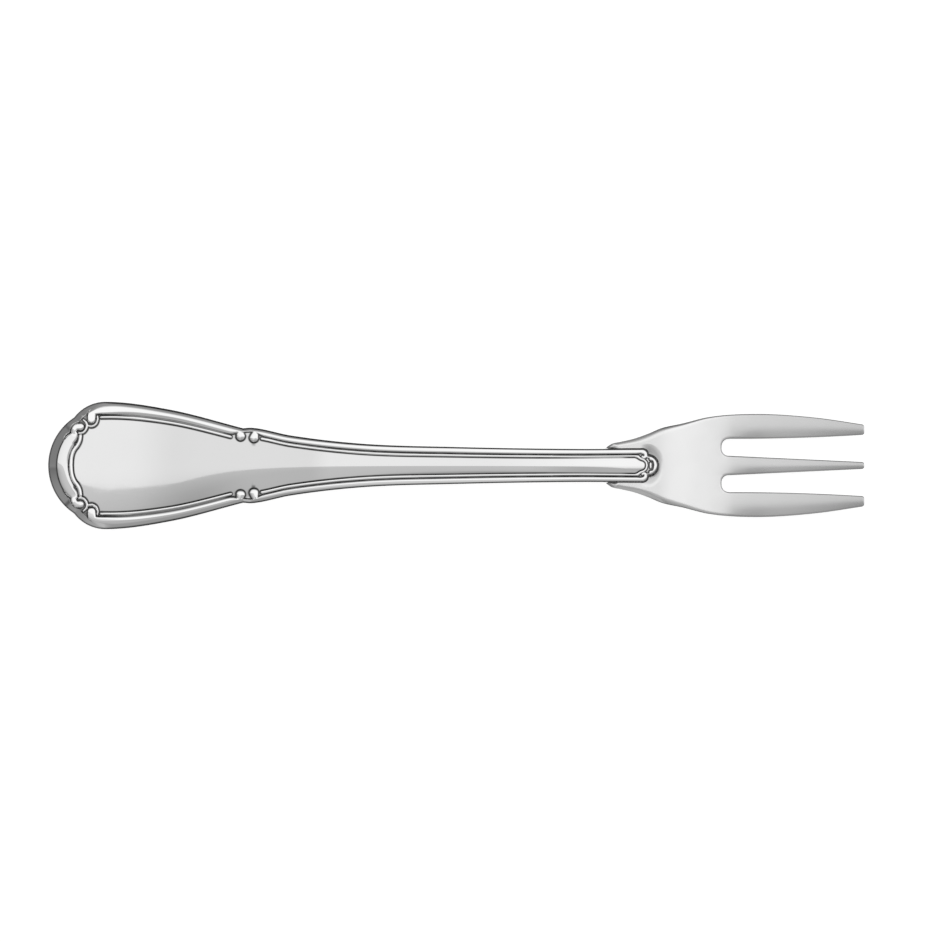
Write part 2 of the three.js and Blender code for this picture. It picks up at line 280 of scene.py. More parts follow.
class Sheets:
    """A closed skin made of grids, one half of which is mirrored to the other side of the fork."""

    def __init__(self) -> None:
        """Starts an empty skin."""
        self.mesh = bmesh.new()
        self.relief = self.mesh.verts.layers.float.new(RELIEF)

    def add(
        self, points: np.ndarray, relief: np.ndarray | None = None, hole: np.ndarray | None = None
    ) -> None:
        """Adds a grid of quads and moves its corners into place.

        Args:
            points: (rows, columns, 3) places of the corners, in millimetres from the broad end's tip.
            relief: (rows, columns) values of the relief attribute.
            hole: (rows - 1, columns - 1) mask of the quads that are left out.
        """
        rows, columns = points.shape[:2]
        grid = bmesh.ops.create_grid(self.mesh, x_segments=columns - 1, y_segments=rows - 1, size=1.0)
        if hole is not None:
            self._cut(grid["verts"], hole)
        for vert in grid["verts"]:
            if vert.is_valid:
                row = round(self._grid_line(vert.co.y, rows))
                column = round(self._grid_line(vert.co.x, columns))
                x, y, z = points[row, column]
                vert.co = ((x + BROAD_TIP) * MM, y * MM, z * MM)
                if relief is not None:
                    vert[self.relief] = relief[row, column]

    def _cut(self, verts: list[bmesh.types.BMVert], hole: np.ndarray) -> None:
        """Deletes quads of a new grid.

        Args:
            verts: the grid's corners.
            hole: mask of the quads to delete.
        """
        rows, columns = np.add(hole.shape, 1)
        doomed = []
        for face in dict.fromkeys(face for vert in verts for face in vert.link_faces):
            middle = face.calc_center_median()
            row = int(self._grid_line(middle.y, rows))
            column = int(self._grid_line(middle.x, columns))
            if hole[row, column]:
                doomed.append(face)
        bmesh.ops.delete(self.mesh, geom=doomed, context="FACES")

    @staticmethod
    def _grid_line(place: float, lines: int) -> float:
        """Number of the grid line at a place from -1 to 1, counted from 0."""
        return (place + 1) / 2 * (lines - 1)

    def finish(self, name: str, merge: float = 1e-6, sharp: float = 48.0) -> bpy.types.Object:
        """Mirrors the half skin, closes it and makes it an object.

        Args:
            name: name of the object.
            merge: points nearer than this, in metres, become one.
            sharp: edges that turn by more than this many degrees stay crisp.

        Returns:
            The object, linked to the scene.
        """
        half = self.mesh.verts[:] + self.mesh.edges[:] + self.mesh.faces[:]
        bmesh.ops.mirror(self.mesh, geom=half, matrix=Matrix(), merge_dist=merge, axis="Y")
        bmesh.ops.remove_doubles(self.mesh, verts=self.mesh.verts[:], dist=merge)
        bmesh.ops.dissolve_degenerate(self.mesh, edges=self.mesh.edges[:], dist=merge)
        bmesh.ops.recalc_face_normals(self.mesh, faces=self.mesh.faces[:])
        for face in self.mesh.faces:
            face.smooth = True
        mesh = bpy.data.meshes.new(name)
        self.mesh.to_mesh(mesh)
        self.mesh.free()
        mesh.set_sharp_from_angle(angle=math.radians(sharp))
        return link_object(name, mesh)


def link_object(name: str, data: bpy.types.ID) -> bpy.types.Object:
    """Makes an object and links it to the scene.

    Args:
        name: name of the object.
        data: its mesh, lamp or camera.

    Returns:
        The object.
    """
    made = bpy.data.objects.new(name, data)
    bpy.context.scene.collection.objects.link(made)
    return made


def place(piece: bpy.types.Object, node: Node, slot: Slot, material: bpy.types.Material) -> None:
    """Dresses a piece and puts it into the frame.

    Args:
        piece: the piece.
        node: the node that it stands for.
        slot: not used.
        material: its finish.
    """
    piece.data.materials.append(material)
    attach(piece, BODY)
    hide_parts(node.value)
    log.info("%s: %d faces", piece.name, len(piece.data.polygons))


# Handle

@dataclass(frozen=True)
class Stroke:
    """A rounded ridge of the border.

    Attributes:
        path: rows of (x, y, half width).
        height: height of its crest above the groove floor, as a share of the groove's depth.
        fullness: 2 for an even round, more for a flatter top, or a curve of that along the fork.
        polish: how bright its crest is rubbed, from 0 to 1.
    """

    path: np.ndarray
    height: float = 1.0
    fullness: float | Curve = 4.5
    polish: float = 1.0

    def measure(self, plan: np.ndarray) -> tuple[np.ndarray, np.ndarray]:
        """Measures the ridge at points of the plan.

        Args:
            plan: points, one row of (x, y) each.

        Returns:
            How full the ridge stands at each point, from 0 to 1, and the point's distance outside it.
        """
        share, outside = measure_path(plan, self.path)
        power = self.fullness(plan[:, 0]) if callable(self.fullness) else self.fullness
        return 1 - np.minimum(share, 1) ** power, outside


@dataclass(frozen=True)
class Ridges:
    """All ridges of the border together, at points of the plan.

    Attributes:
        lift: height above the groove floor, as a share of the groove's depth.
        full: how full the fullest ridge stands, from 0 to 1.
        polish: how bright the crest is rubbed, from 0 to 1.
        clear: distance outside every ridge.
    """

    lift: np.ndarray
    full: np.ndarray
    polish: np.ndarray
    clear: np.ndarray


@dataclass(frozen=True)
class Stations:
    """Places round one side of the handle, from the tip of the broad end to the tip of the strap.

    Attributes:
        edge: points on the edge, one row of (x, y) each.
        foot: the points of the middle line that the rings run in to.
        rail: width of the outer moulding.
        thread: width of the thread inside it.
        lobe: 1 where the edge slopes as the round lobe does, 0 elsewhere.
        corner: 1 where the edge lies between the lobe and the shoulder.
        band: 1 where the lobe's broad band lies along the edge.
        ornament: 1 where scrolls reach further in than the thread.
    """

    edge: np.ndarray
    foot: np.ndarray
    rail: np.ndarray
    thread: np.ndarray
    lobe: np.ndarray
    corner: np.ndarray
    band: np.ndarray
    ornament: np.ndarray

    def reach(self) -> np.ndarray:
        """Distance from each foot to its point on the edge."""
        return np.linalg.norm(self.edge - self.foot, axis=1)

    def inwards(self, inset: np.ndarray) -> np.ndarray:
        """Points of the plan at (stations, rings) insets from the edge towards the feet."""
        share = (inset / self.reach()[:, None])[..., None]
        return blend(self.edge[:, None], self.foot[:, None], share)

    def spread(self, rings: int) -> "Stations":
        """The same stations, each repeated for its rings."""
        return Stations(**{name: np.repeat(values, rings, axis=0) for name, values in vars(self).items()})


@dataclass
class Handle:
    """The struck handle, with the strap that lies on the head.

    Sizes are in millimetres, places run from the tip of the broad end, and angles are in degrees about the
    pole of the broad end. A span gives where a change starts and where it is complete.
    """

    # Plan
    length: float = STRAP_TIP
    broad_width: float = HANDLE_BOX[1, 1] - HANDLE_BOX[0, 1]
    shoulder_swell: float = 1.15
    shoulder_radius: float = 7.1
    flank_at: float = 16.0
    body_at: float = 22.0
    waist_at: float = 35.4
    waist_half_width: float = 6.75
    waist_ease: float = 1.5
    taper_at: float = 44.0
    stem_at: float = 57.0
    slim_at: float = 74.0
    neck_at: float = 96.0
    strap_at: float = 104.5
    strap_half_width: float = 3.05
    scroll_radius: float = 1.85
    volute_radius: float = 1.1
    volute_setback: float = 1.8

    # Side view
    flat_back: float = 24.0
    broad_thickness: float = 2.5
    neck_thickness: float = 3.4
    strap_bottom: float = SOLDER_BOX[1, 2]
    solder_film: float = SOLDER_BOX[1, 2] - SOLDER_BOX[0, 2]
    back_round: float = 1.1
    strap_round: float = 0.1
    back_squareness: float = 0.8

    # Widths and heights of the border
    lobe_rail: float = 3.65
    lobe_thread: float = 0.8
    lobe_half: float = 1.0
    thread_share: float = 0.8
    panel_share: float = 0.6
    panel_bevel: float = 0.26
    panel_ease: float = 0.2
    panel_end: float = 11.0
    panel_end_radius: float = 150.0
    band_top: float = 3.2
    band_radius: float = 5.6
    waist_middle: float = 36.1
    waist_pinch: float = 0.42
    waist_pinch_length: float = 2.2

    # Slope from the border's crest out to the edge
    crest_round: float = 0.04
    crest_ease: float = 0.1
    crest_lift: float = 0.3
    edge_slope: float = 0.97
    lobe_edge: float = 2.05
    lobe_slope: float = 0.55
    lobe_fade: Span = (7.4, 13.0)
    corner_edge: float = 1.3
    corner_rise: Span = (96.0, 108.0)
    corner_fall: Span = (140.0, 152.0)
    band_rise: Span = (131.0, 139.0)
    lobe_rail_rise: Span = (112.0, 132.0)

    # Polish, tarnish in the lines, and painted shade
    polish_rise: Span = (0.3, 0.8)
    off_ridge_fall: Span = (0.05, 0.6)
    tarnish_fade: Span = (0.096, 0.32)
    line_rise: Span = (0.3, 0.5)
    thread_split: Span = (0.3, 0.7)
    groove_wear: float = 0.35
    worn_rise: Span = (11.0, 15.0)
    worn_fall: Span = (31.0, 33.0)
    neck_wear: float = 0.5
    neck_worn_rise: Span = (88.0, 99.0)
    neck_worn_fall: Span = (103.5, 105.5)
    # painted shade: the open metal of the lobe's corner, between its slope and its knobs, is darkened to the
    # slope's grey
    corner_painted_shade: float = 0.76
    corner_level: Span = (-0.06, -0.02)
    corner_fade: Span = (1.76, 2.2)
    # painted shade: a dark line along the very edge of the front
    rim_painted_shade: float = 0.72
    rim_fade: Span = (0.165, 0.33)
    # painted shade on the back and its rounded sides
    back_painted_shade: float = 0.4

    # Scrolls and knobs, as rows of x, y and half width
    lobe_end: Points = ((3.98, 4.41, 0.84), (4.44, 5.1, 0.86), (4.78, 5.66, 0.6))
    lobe_corner: Points = ((3.55, 4.3, 0.75), (3.95, 4.95, 0.72), (4.5, 5.45, 0.55))
    lobe_knob: Points = ((4.7, 5.75, 0.56), (4.66, 6.3, 0.5), (5.1, 6.95, 0.6), (5.88, 7.05, 0.66))
    lobe_wrap: Points = (
        (6.42, 8.27, 0.2), (6.94, 7.73, 0.24), (7.06, 7.1, 0.26), (6.86, 6.5, 0.26), (6.35, 5.96, 0.26),
        (5.65, 5.86, 0.23),
    )
    bracket: Points = (
        (5.9, 5.35, 0.33), (5.73, 4.4, 0.35), (5.3, 3.56, 0.37), (4.8, 2.9, 0.37), (4.42, 2.1, 0.37),
        (4.22, 1.1, 0.36), (4.15, 0.0, 0.36),
    )
    shoulder_knob: Points = ((7.87, 8.4, 0.74), (7.93, 9.15, 0.76), (8.35, 9.75, 0.56), (9.6, 10.2, 0.9))
    shoulder_wrap: Points = (
        (8.98, 8.95, 0.17), (9.02, 8.3, 0.2), (8.79, 7.65, 0.24), (8.39, 7.26, 0.26), (7.88, 7.1, 0.26),
        (7.25, 7.2, 0.25),
    )
    body_knob: Points = ((34.75, 6.2, 0.45), (34.92, 5.32, 0.86))
    stem_knob: Points = ((37.6, 6.15, 0.45), (37.35, 5.02, 0.86))
    volute: Points = (
        (107.55, 2.58, 0.42), (108.2, 2.3, 0.37), (108.38, 1.8, 0.33), (108.1, 1.45, 0.27),
        (107.75, 1.6, 0.2),
    )
    ogee: Points = (
        (106.9, 1.62, 0.26), (107.45, 1.22, 0.21), (108.0, 1.0, 0.19), (108.42, 0.6, 0.18),
        (108.58, 0.0, 0.18),
    )
    scroll: Points = ((110.1, 0.0, 0.27), (109.98, 0.6, 0.25), (109.74, 1.0, 0.21), (109.32, 1.25, 0.37))
    scroll_bar: Points = ((109.24, 0.0, 0.2), (109.24, 0.4, 0.18))

    # Runs of the mouldings and threads between them
    lobe_arc_end: float = 150.0
    lobe_fullness: float = 9.0
    lobe_polish: float = 0.3
    lobe_knob_fullness: float = 8.0
    knob_fullness: float = 3.0
    body_rail_start: float = 10.6
    body_thread: Span = (9.62, 33.1)
    stem_rail_end: float = 106.6
    stem_rail_fullness: float = 6.0
    stem_thread: Span = (38.75, 106.4)
    stem_thread_fullness: float = 5.0

    # How finely the surface is cut
    broad_steps: int = 170
    tip_steps: int = 70
    run_steps: tuple[tuple[float, int], ...] = ((12.5, 32), (31.5, 80), (40.5, 78))
    run_start_steps: int = 14
    notch_gap: float = 0.002
    lap_steps: int = 6
    strap_steps: int = 42
    lobe_arc_steps: int = 20
    rail_steps: tuple[int, int] = (60, 80)
    thread_steps: tuple[int, int] = (32, 56)
    front_rings: tuple[int, ...] = (36, 10, 25, 7)
    panel_margin: float = 0.7
    ornament_margin: float = 2.0
    ornament_rise: Span = (90.0, 100.0)
    ornament_fall: Span = (142.0, 152.0)
    round_rings: int = 10
    flat_rings: int = 6

    def __post_init__(self) -> None:
        """Works out the places, curves and paths that follow from the sizes."""
        self.end_radius = self.broad_width / 2 - self.shoulder_swell
        self.tip_pole = self.length - self.volute_setback - self.volute_radius
        self.notch = TAIL_AT - self.solder_film
        self._draw_outline()
        self._draw_border()
        self._draw_edge()
        self._draw_panel()
        self.edge = self._stations()
        self.strokes = self._broad_strokes() + self._run_strokes() + self._tip_strokes()

    def _draw_outline(self) -> None:
        """Draws the half widths of the run between the two round ends."""
        waist = (self.waist_at, self.waist_half_width)
        broad = (self.end_radius, self.broad_width / 2)
        self.body_half = curve_through((broad, (self.body_at, 10.15), waist), True)
        self.stem_half = curve_through(
            (
                waist, (36.9, 6.85), (self.taper_at, 5.45), (self.stem_at, 3.95), (self.slim_at, 3.35),
                (self.neck_at, 3.0), (self.tip_pole, self.strap_half_width),
            )
        )

    def _draw_border(self) -> None:
        """Draws the widths and depths of the border along the handle."""
        broad, waist, stem = self.end_radius, self.waist_at, self.stem_at
        self.body_rail = curve_through(
            ((0.0, 2.4), (broad, 2.4), (self.flank_at, 2.22), (self.body_at, 2.0), (waist, 1.75))
        )
        self.stem_rail = curve_through(((waist, 1.4), (stem, 1.25), (80.0, 1.14), (TAIL_AT, 1.05)))
        self.rail_fullness = curve_through(((broad, 14.0), (13.0, 8.0), (17.0, 4.0), (waist, 3.8)))
        self.thread = curve_through(((0.0, 0.8), (waist, 0.76), (stem, 0.74), (TAIL_AT, 0.58)))
        self.groove_width = curve_through(((waist, 0.26), (stem, 0.24), (TAIL_AT, 0.23)))
        self.groove_depth = curve_through(
            ((0.0, 0.28), (broad, 0.28), (self.flank_at, 0.23), (waist, 0.2), (stem, 0.155), (TAIL_AT, 0.12))
        )

    def _draw_edge(self) -> None:
        """Draws the slope from the border's crest out to the edge, along the handle."""
        broad, waist, stem = self.end_radius, self.waist_at, self.stem_at
        self.edge_width = curve_through(
            ((broad, 1.2), (self.body_at, 1.15), (waist, 0.85), (stem, 0.42), (TAIL_AT, 0.26))
        )
        self.edge_roundness = curve_through(((broad, 2.0), (waist, 1.7), (stem, 1.25), (TAIL_AT, 1.05)))

    def _draw_panel(self) -> None:
        """Draws the half width of the panel and how far it swells, along the handle."""
        broad, waist = self.end_radius, self.waist_at
        self.panel_crown = curve_through(
            (
                (0.0, 0.058), (broad, 0.058), (self.body_at, 0.08), (waist, 0.115), (self.neck_at, 0.11),
                (self.strap_at, 0.045),
            )
        )
        self.panel_half = curve_through(
            (
                (0.0, 8.6), (broad, 8.6), (self.body_at, 7.35), (waist, 4.5), (self.taper_at, 3.2),
                (self.stem_at, 2.0), (self.slim_at, 1.5), (TAIL_AT, 1.4),
            )
        )

    def arch(self, x: np.ndarray) -> np.ndarray:
        """How far the back has risen, from 0 on the table to 1 at the lap."""
        return smoothstep(x, self.flat_back, TAIL_AT)

    def back(self, x: np.ndarray) -> np.ndarray:
        """Height of the back."""
        return NECK_RISE * self.arch(x)

    def thickness(self, x: np.ndarray) -> np.ndarray:
        """Height of the border's crest above the back."""
        return self.broad_thickness + (self.neck_thickness - self.broad_thickness) * self.arch(x)

    def half_width(self, x: np.ndarray) -> np.ndarray:
        """Half width of the run between the broad end and the strap's tip."""
        return np.where(x < self.waist_at, self.body_half(x), self.stem_half(x))

    def rail(self, x: np.ndarray) -> np.ndarray:
        """Width of the outer moulding along the run."""
        share = smoothstep(x, self.waist_at - self.waist_ease, self.waist_at + self.waist_ease)
        return blend(self.body_rail(x), self.stem_rail(x), share)

    def even_rail(self, x: np.ndarray) -> np.ndarray:
        """Width of the outer moulding, which stays the same all round the broad end."""
        return self.rail(np.maximum(x, self.end_radius))

    def _run(self) -> np.ndarray:
        """Spaces the stations between the two round ends.

        Returns:
            Their places, with two close together at the lap's notch.
        """
        before = self.notch - self.notch_gap
        body = divide(((self.end_radius, self.run_start_steps), *self.run_steps, (before, 0)))
        strap = divide(((self.notch, self.lap_steps), (self.strap_at, self.strap_steps), (self.tip_pole, 0)))
        return np.concatenate([body[1:], [before], strap])

    def _stations(self) -> Stations:
        """Lays the stations round one side of the handle.

        Returns:
            The stations, from the tip of the broad end to the tip of the strap.
        """
        half = self.broad_width / 2
        lobe = ((self.end_radius, 0.0), self.end_radius)
        shoulder = ((self.end_radius, half - self.shoulder_radius), self.shoulder_radius)
        scroll = ((self.length - self.scroll_radius, 0.0), self.scroll_radius)
        volute = ((self.tip_pole, self.strap_half_width - self.volute_radius), self.volute_radius)
        broad_angles = np.linspace(180, 90, self.broad_steps + 1)
        tip_angles = np.linspace(90, 0, self.tip_steps + 1)
        run = self._run()
        broad = round_end(self.end_radius, broad_angles, (lobe, shoulder))
        tip = round_end(self.tip_pole, tip_angles, (volute, scroll))
        edge = np.concatenate([broad, np.stack([run, self.half_width(run)], axis=1), tip])
        angle = np.concatenate([broad_angles, np.zeros(len(run) + len(tip))])
        x = edge[:, 0]
        return Stations(
            edge=edge,
            foot=np.stack([np.clip(x, self.end_radius, self.tip_pole), np.zeros_like(x)], axis=1),
            rail=blend(self.even_rail(x), self.lobe_rail, smoothstep(angle, *self.lobe_rail_rise)),
            thread=np.where(angle > 0, self.lobe_thread, self.thread(x)),
            lobe=1 - smoothstep(x, *self.lobe_fade),
            corner=window(angle, self.corner_rise, self.corner_fall),
            band=smoothstep(angle, *self.band_rise),
            ornament=window(angle, self.ornament_rise, self.ornament_fall),
        )

    def _pinched_rail(self, x: np.ndarray) -> np.ndarray:
        """Width of the outer moulding, which narrows beside the knobs of the waist."""
        from_knobs = (x - self.waist_middle) / self.waist_pinch_length
        return self.rail(x) * (1 - self.waist_pinch * np.exp(-(from_knobs**4)))

    def _rail_path(self, start: float, end: float, steps: int) -> np.ndarray:
        """Draws the outer moulding along the run, clear of the groove beside it.

        Args:
            start: where it starts.
            end: where it ends.
            steps: pieces that it is cut into.

        Returns:
            Rows of (x, y, half width) along its crest.
        """
        x = np.linspace(start, end, steps + 1)
        width = self._pinched_rail(x)
        return np.stack([x, self.half_width(x) - width / 2, (width - self.groove_width(x)) / 2], axis=1)

    def _thread_path(self, start: float, end: float, steps: int) -> np.ndarray:
        """Draws the thread along the run, clear of the grooves beside it.

        Args:
            start: where it starts.
            end: where it ends.
            steps: pieces that it is cut into.

        Returns:
            Rows of (x, y, half width) along its crest.
        """
        x = np.linspace(start, end, steps + 1)
        inset = self.rail(x) + self.thread(x) / 2
        return np.stack([x, self.half_width(x) - inset, (self.thread(x) - self.groove_width(x)) / 2], axis=1)

    def _broad_strokes(self) -> list[Stroke]:
        """Draws the ridges round one side of the broad end.

        Returns:
            The lobe's band, its knob and the thin scrolls round them.
        """
        middle = ((self.end_radius, 0.0), self.end_radius - self.lobe_rail + self.lobe_half)
        lobe_arc = on_circle(middle, np.linspace(180, self.lobe_arc_end, self.lobe_arc_steps + 1))
        lobe_band = np.column_stack([lobe_arc, np.full(len(lobe_arc), self.lobe_half)])
        lobe = np.vstack([lobe_band, smooth_path(self.lobe_end)])
        corner = smooth_path(self.lobe_corner)
        return [
            Stroke(lobe, fullness=self.lobe_fullness, polish=self.lobe_polish),
            Stroke(corner, fullness=self.lobe_fullness, polish=self.lobe_polish),
            Stroke(smooth_path(self.lobe_knob), fullness=self.lobe_knob_fullness),
            Stroke(smooth_path(self.lobe_wrap), self.thread_share),
            Stroke(smooth_path(self.bracket), self.thread_share),
            Stroke(smooth_path(self.shoulder_wrap), self.thread_share),
        ]

    def _run_strokes(self) -> list[Stroke]:
        """Draws the ridges along one side of the body.

        Returns:
            The moulding, the thread and the knobs of the waist.
        """
        run = self._rail_path(self.body_rail_start, self.waist_middle, self.rail_steps[0])
        rail = np.vstack([smooth_path(self.shoulder_knob), run])
        return [
            Stroke(rail, fullness=self.rail_fullness),
            Stroke(self._thread_path(*self.body_thread, self.thread_steps[0]), self.thread_share),
            Stroke(smooth_path(self.body_knob), fullness=self.knob_fullness),
            Stroke(smooth_path(self.stem_knob), fullness=self.knob_fullness),
        ]

    def _tip_strokes(self) -> list[Stroke]:
        """Draws the ridges along one side of the stem.

        Returns:
            The moulding, the thread and the scrolls of the strap's tip.
        """
        rail = self._rail_path(self.waist_middle, self.stem_rail_end, self.rail_steps[1])
        rail = np.vstack([rail, smooth_path(self.volute)])
        thread = self._thread_path(*self.stem_thread, self.thread_steps[1])
        thread = np.vstack([thread, smooth_path(self.ogee)])
        return [
            Stroke(rail, fullness=self.stem_rail_fullness),
            Stroke(thread, self.thread_share, fullness=self.stem_thread_fullness),
            Stroke(smooth_path(self.scroll)),
            Stroke(smooth_path(self.scroll_bar), self.thread_share),
        ]

    def _ridges(self, plan: np.ndarray) -> Ridges:
        """Joins the border's ridges at points of the plan.

        Args:
            plan: points, one row of (x, y) each.

        Returns:
            The highest, fullest and brightest of them at each point, and the distance to the nearest.
        """
        measures = [stroke.measure(plan) for stroke in self.strokes]
        fulls = np.array([full for full, _ in measures])
        heights = np.array([stroke.height for stroke in self.strokes])[:, None]
        polishes = np.array([stroke.polish for stroke in self.strokes])[:, None]
        return Ridges(
            lift=np.max(heights * fulls, axis=0),
            full=np.max(fulls, axis=0),
            polish=np.max(polishes * smoothstep(fulls, *self.polish_rise), axis=0),
            clear=np.min([outside for _, outside in measures], axis=0),
        )

    def panel(self, plan: np.ndarray) -> np.ndarray:
        """Height of the crowned panel.

        Args:
            plan: points, one row of (x, y) each.

        Returns:
            The height above the back at each point.
        """
        x, y = plan.T
        crown = self.panel_crown(x)
        side_fall = crown * (y / self.panel_half(x)) ** 2
        end_fall = np.minimum(x - self.panel_end, 0) ** 2 / (2 * self.panel_end_radius)
        sunk = self.panel_share * self.groove_depth(x)
        return self.thickness(x) - sunk + crown - side_fall - end_fall

    def _struck(self, plan: np.ndarray, inset: np.ndarray, ridges: Ridges, at: Stations) -> np.ndarray:
        """Height of the ridges, grooves and panel, before the edge is sloped.

        Args:
            plan: points, one row of (x, y) each.
            inset: their distance in from the edge.
            ridges: the border's ridges at them.
            at: their stations.

        Returns:
            The height above the back at each point.
        """
        x = plan[:, 0]
        crest = self.thickness(x)
        groove = self.groove_depth(x)
        floor = crest - groove
        rail = self.even_rail(x)
        crest_at = rail / 2
        crest_at += (self.corner_edge - crest_at) * at.corner
        crest_at += (self.lobe_rail - self.lobe_half - crest_at) * at.band
        open_metal = smoothstep(ridges.clear, 0, self.panel_bevel)
        inside = smoothstep(inset, crest_at, crest_at + self.panel_ease * rail)
        field = floor + (self.panel(plan) - floor) * open_metal * inside
        struck = np.maximum(floor + groove * ridges.lift, field)
        outer = 1 - smoothstep(inset, crest_at - self.crest_ease, crest_at)
        struck += (crest - struck) * outer * (1 - at.corner * (1 - open_metal))
        return struck - np.maximum(self.band_top - inset, 0) ** 2 / (2 * self.band_radius) * at.band

    def _wall(self, x: np.ndarray, inset: np.ndarray, at: Stations) -> np.ndarray:
        """Height of the slope that falls from the border's crest to the edge.

        Args:
            x: the points' places along the handle.
            inset: their distance in from the edge.
            at: their stations.

        Returns:
            The height above the back at each point, which rises on behind the crest.
        """
        width = self.edge_width(x)
        width += (self.corner_edge - width) * at.corner
        width += (self.lobe_edge - width) * at.band
        slope = blend(self.edge_slope, self.lobe_slope, at.lobe)
        roundness = blend(self.edge_roundness(x), 1.0, at.lobe)
        rise = self.crest_lift * np.maximum(inset - width, 0)
        return self.thickness(x) - edge_fall(inset, width, slope, roundness) + rise

    def _line_tarnish(self, x: np.ndarray, inset: np.ndarray, ridges: Ridges) -> np.ndarray:
        """Tarnish in the struck lines, which is worn along the body and the neck.

        Args:
            x: the points' places along the handle.
            inset: their distance in from the edge.
            ridges: the border's ridges at them.

        Returns:
            The tarnish at each point, from 0 to 1.
        """
        rail = self.even_rail(x)
        tarnish_and_shade = 1 - smoothstep(ridges.clear, *self.tarnish_fade)
        tarnish_and_shade *= smoothstep(inset / rail, *self.line_rise)
        by_rail = 1 - smoothstep((inset - rail) / self.thread(x), *self.thread_split)
        body_wear = self.groove_wear * window(x, self.worn_rise, self.worn_fall) * by_rail
        neck_wear = self.neck_wear * window(x, self.neck_worn_rise, self.neck_worn_fall) * (1 - by_rail)
        return tarnish_and_shade * (1 - body_wear) * (1 - neck_wear)

    def relief(self, plan: np.ndarray, at: Stations) -> tuple[np.ndarray, np.ndarray]:
        """Strikes the front.

        Args:
            plan: points, one row of (x, y) each.
            at: their stations.

        Returns:
            Height of the front above the back, and the relief attribute.
        """
        x = plan[:, 0]
        inset = distance_to(plan, self.edge.edge)
        ridges = self._ridges(plan)
        struck = self._struck(plan, inset, ridges, at)
        wall = self._wall(x, inset, at)
        off_ridge = 1 - smoothstep(ridges.full, *self.off_ridge_fall)
        # painted shade on the lobe's corner, off the ridges
        level = smoothstep(wall - struck, *self.corner_level) * (1 - smoothstep(inset, *self.corner_fade))
        corner = self.corner_painted_shade * at.corner * level * off_ridge
        # painted shade: a dark line along the edge
        rim = self.rim_painted_shade * (1 - smoothstep(inset, *self.rim_fade))
        lines = off_ridge * self._line_tarnish(x, inset, ridges)
        tarnish_and_shade = np.max([lines, corner, rim], axis=0)
        return soft_min(struck, wall, self.crest_round), ridges.polish * (1 - tarnish_and_shade) - tarnish_and_shade

    def front_sheet(self) -> tuple[np.ndarray, np.ndarray]:
        """Makes the front.

        Returns:
            Its points, by station and by ring inwards from the edge, and their relief values.
        """
        reach = self.edge.reach()
        inner = self.edge.rail + self.edge.thread
        margin = self.panel_margin + self.ornament_margin * self.edge.ornament
        panel = inner + np.minimum(margin, (reach - inner) / 2)
        starts = (np.zeros_like(reach), self.edge.rail, inner, panel)
        inset = np.concatenate([divide((*zip(starts, self.front_rings), (reach, 0))), reach[None]]).T
        plan = self.edge.inwards(inset)
        height, relief = self.relief(plan.reshape(-1, 2), self.edge.spread(inset.shape[1]))
        z = self.back(plan[..., 0]) + height.reshape(inset.shape)
        return np.dstack([plan, z]), relief.reshape(inset.shape)

    def back_sheet(self, edge_line: np.ndarray) -> np.ndarray:
        """Makes the back.

        Args:
            edge_line: the front's points on the edge.

        Returns:
            Its points, by station and by ring inwards from the edge.
        """
        on_strap = self.edge.edge[:, :1] >= self.notch
        rounding = np.where(on_strap, self.strap_round, self.back_round)
        turn = np.linspace(0, math.pi / 2, self.round_rings)
        round_in = rounding * (1 - np.cos(turn) ** self.back_squareness)
        flat = np.linspace(0, 1, self.flat_rings + 1)[1:]
        flat_in = rounding + (self.edge.reach()[:, None] - rounding) * flat
        down = np.concatenate([np.sin(turn) ** self.back_squareness, np.ones(self.flat_rings)])
        plan = self.edge.inwards(np.concatenate([round_in, flat_in], axis=1))
        bottom = np.where(on_strap, self.strap_bottom, self.back(plan[..., 0]))
        return np.dstack([plan, blend(edge_line[:, 2:3], bottom, down)])

    def build(self) -> bpy.types.Object:
        """Makes the handle's mesh, with the same painted edge shade on both sides of the rim and painted
        shade on the back.

        Returns:
            The piece, not yet dressed.
        """
        front, relief = self.front_sheet()
        back = self.back_sheet(front[:, 0])
        # painted shade on the back; the rim ring takes the front's painted edge shade
        back_relief = np.full(back.shape[:2], -self.back_painted_shade)
        back_relief[:, 0] = relief[:, 0]
        skin = Sheets()
        skin.add(front, relief)
        skin.add(back, back_relief)
        return skin.finish("struck_handle", sharp=32.0)

    def dress(self, piece: bpy.types.Object, material: bpy.types.Material) -> None:
        """Gives the handle its silver."""
        place(piece, Node.HANDLE, Slot.HANDLE, material)


# Head

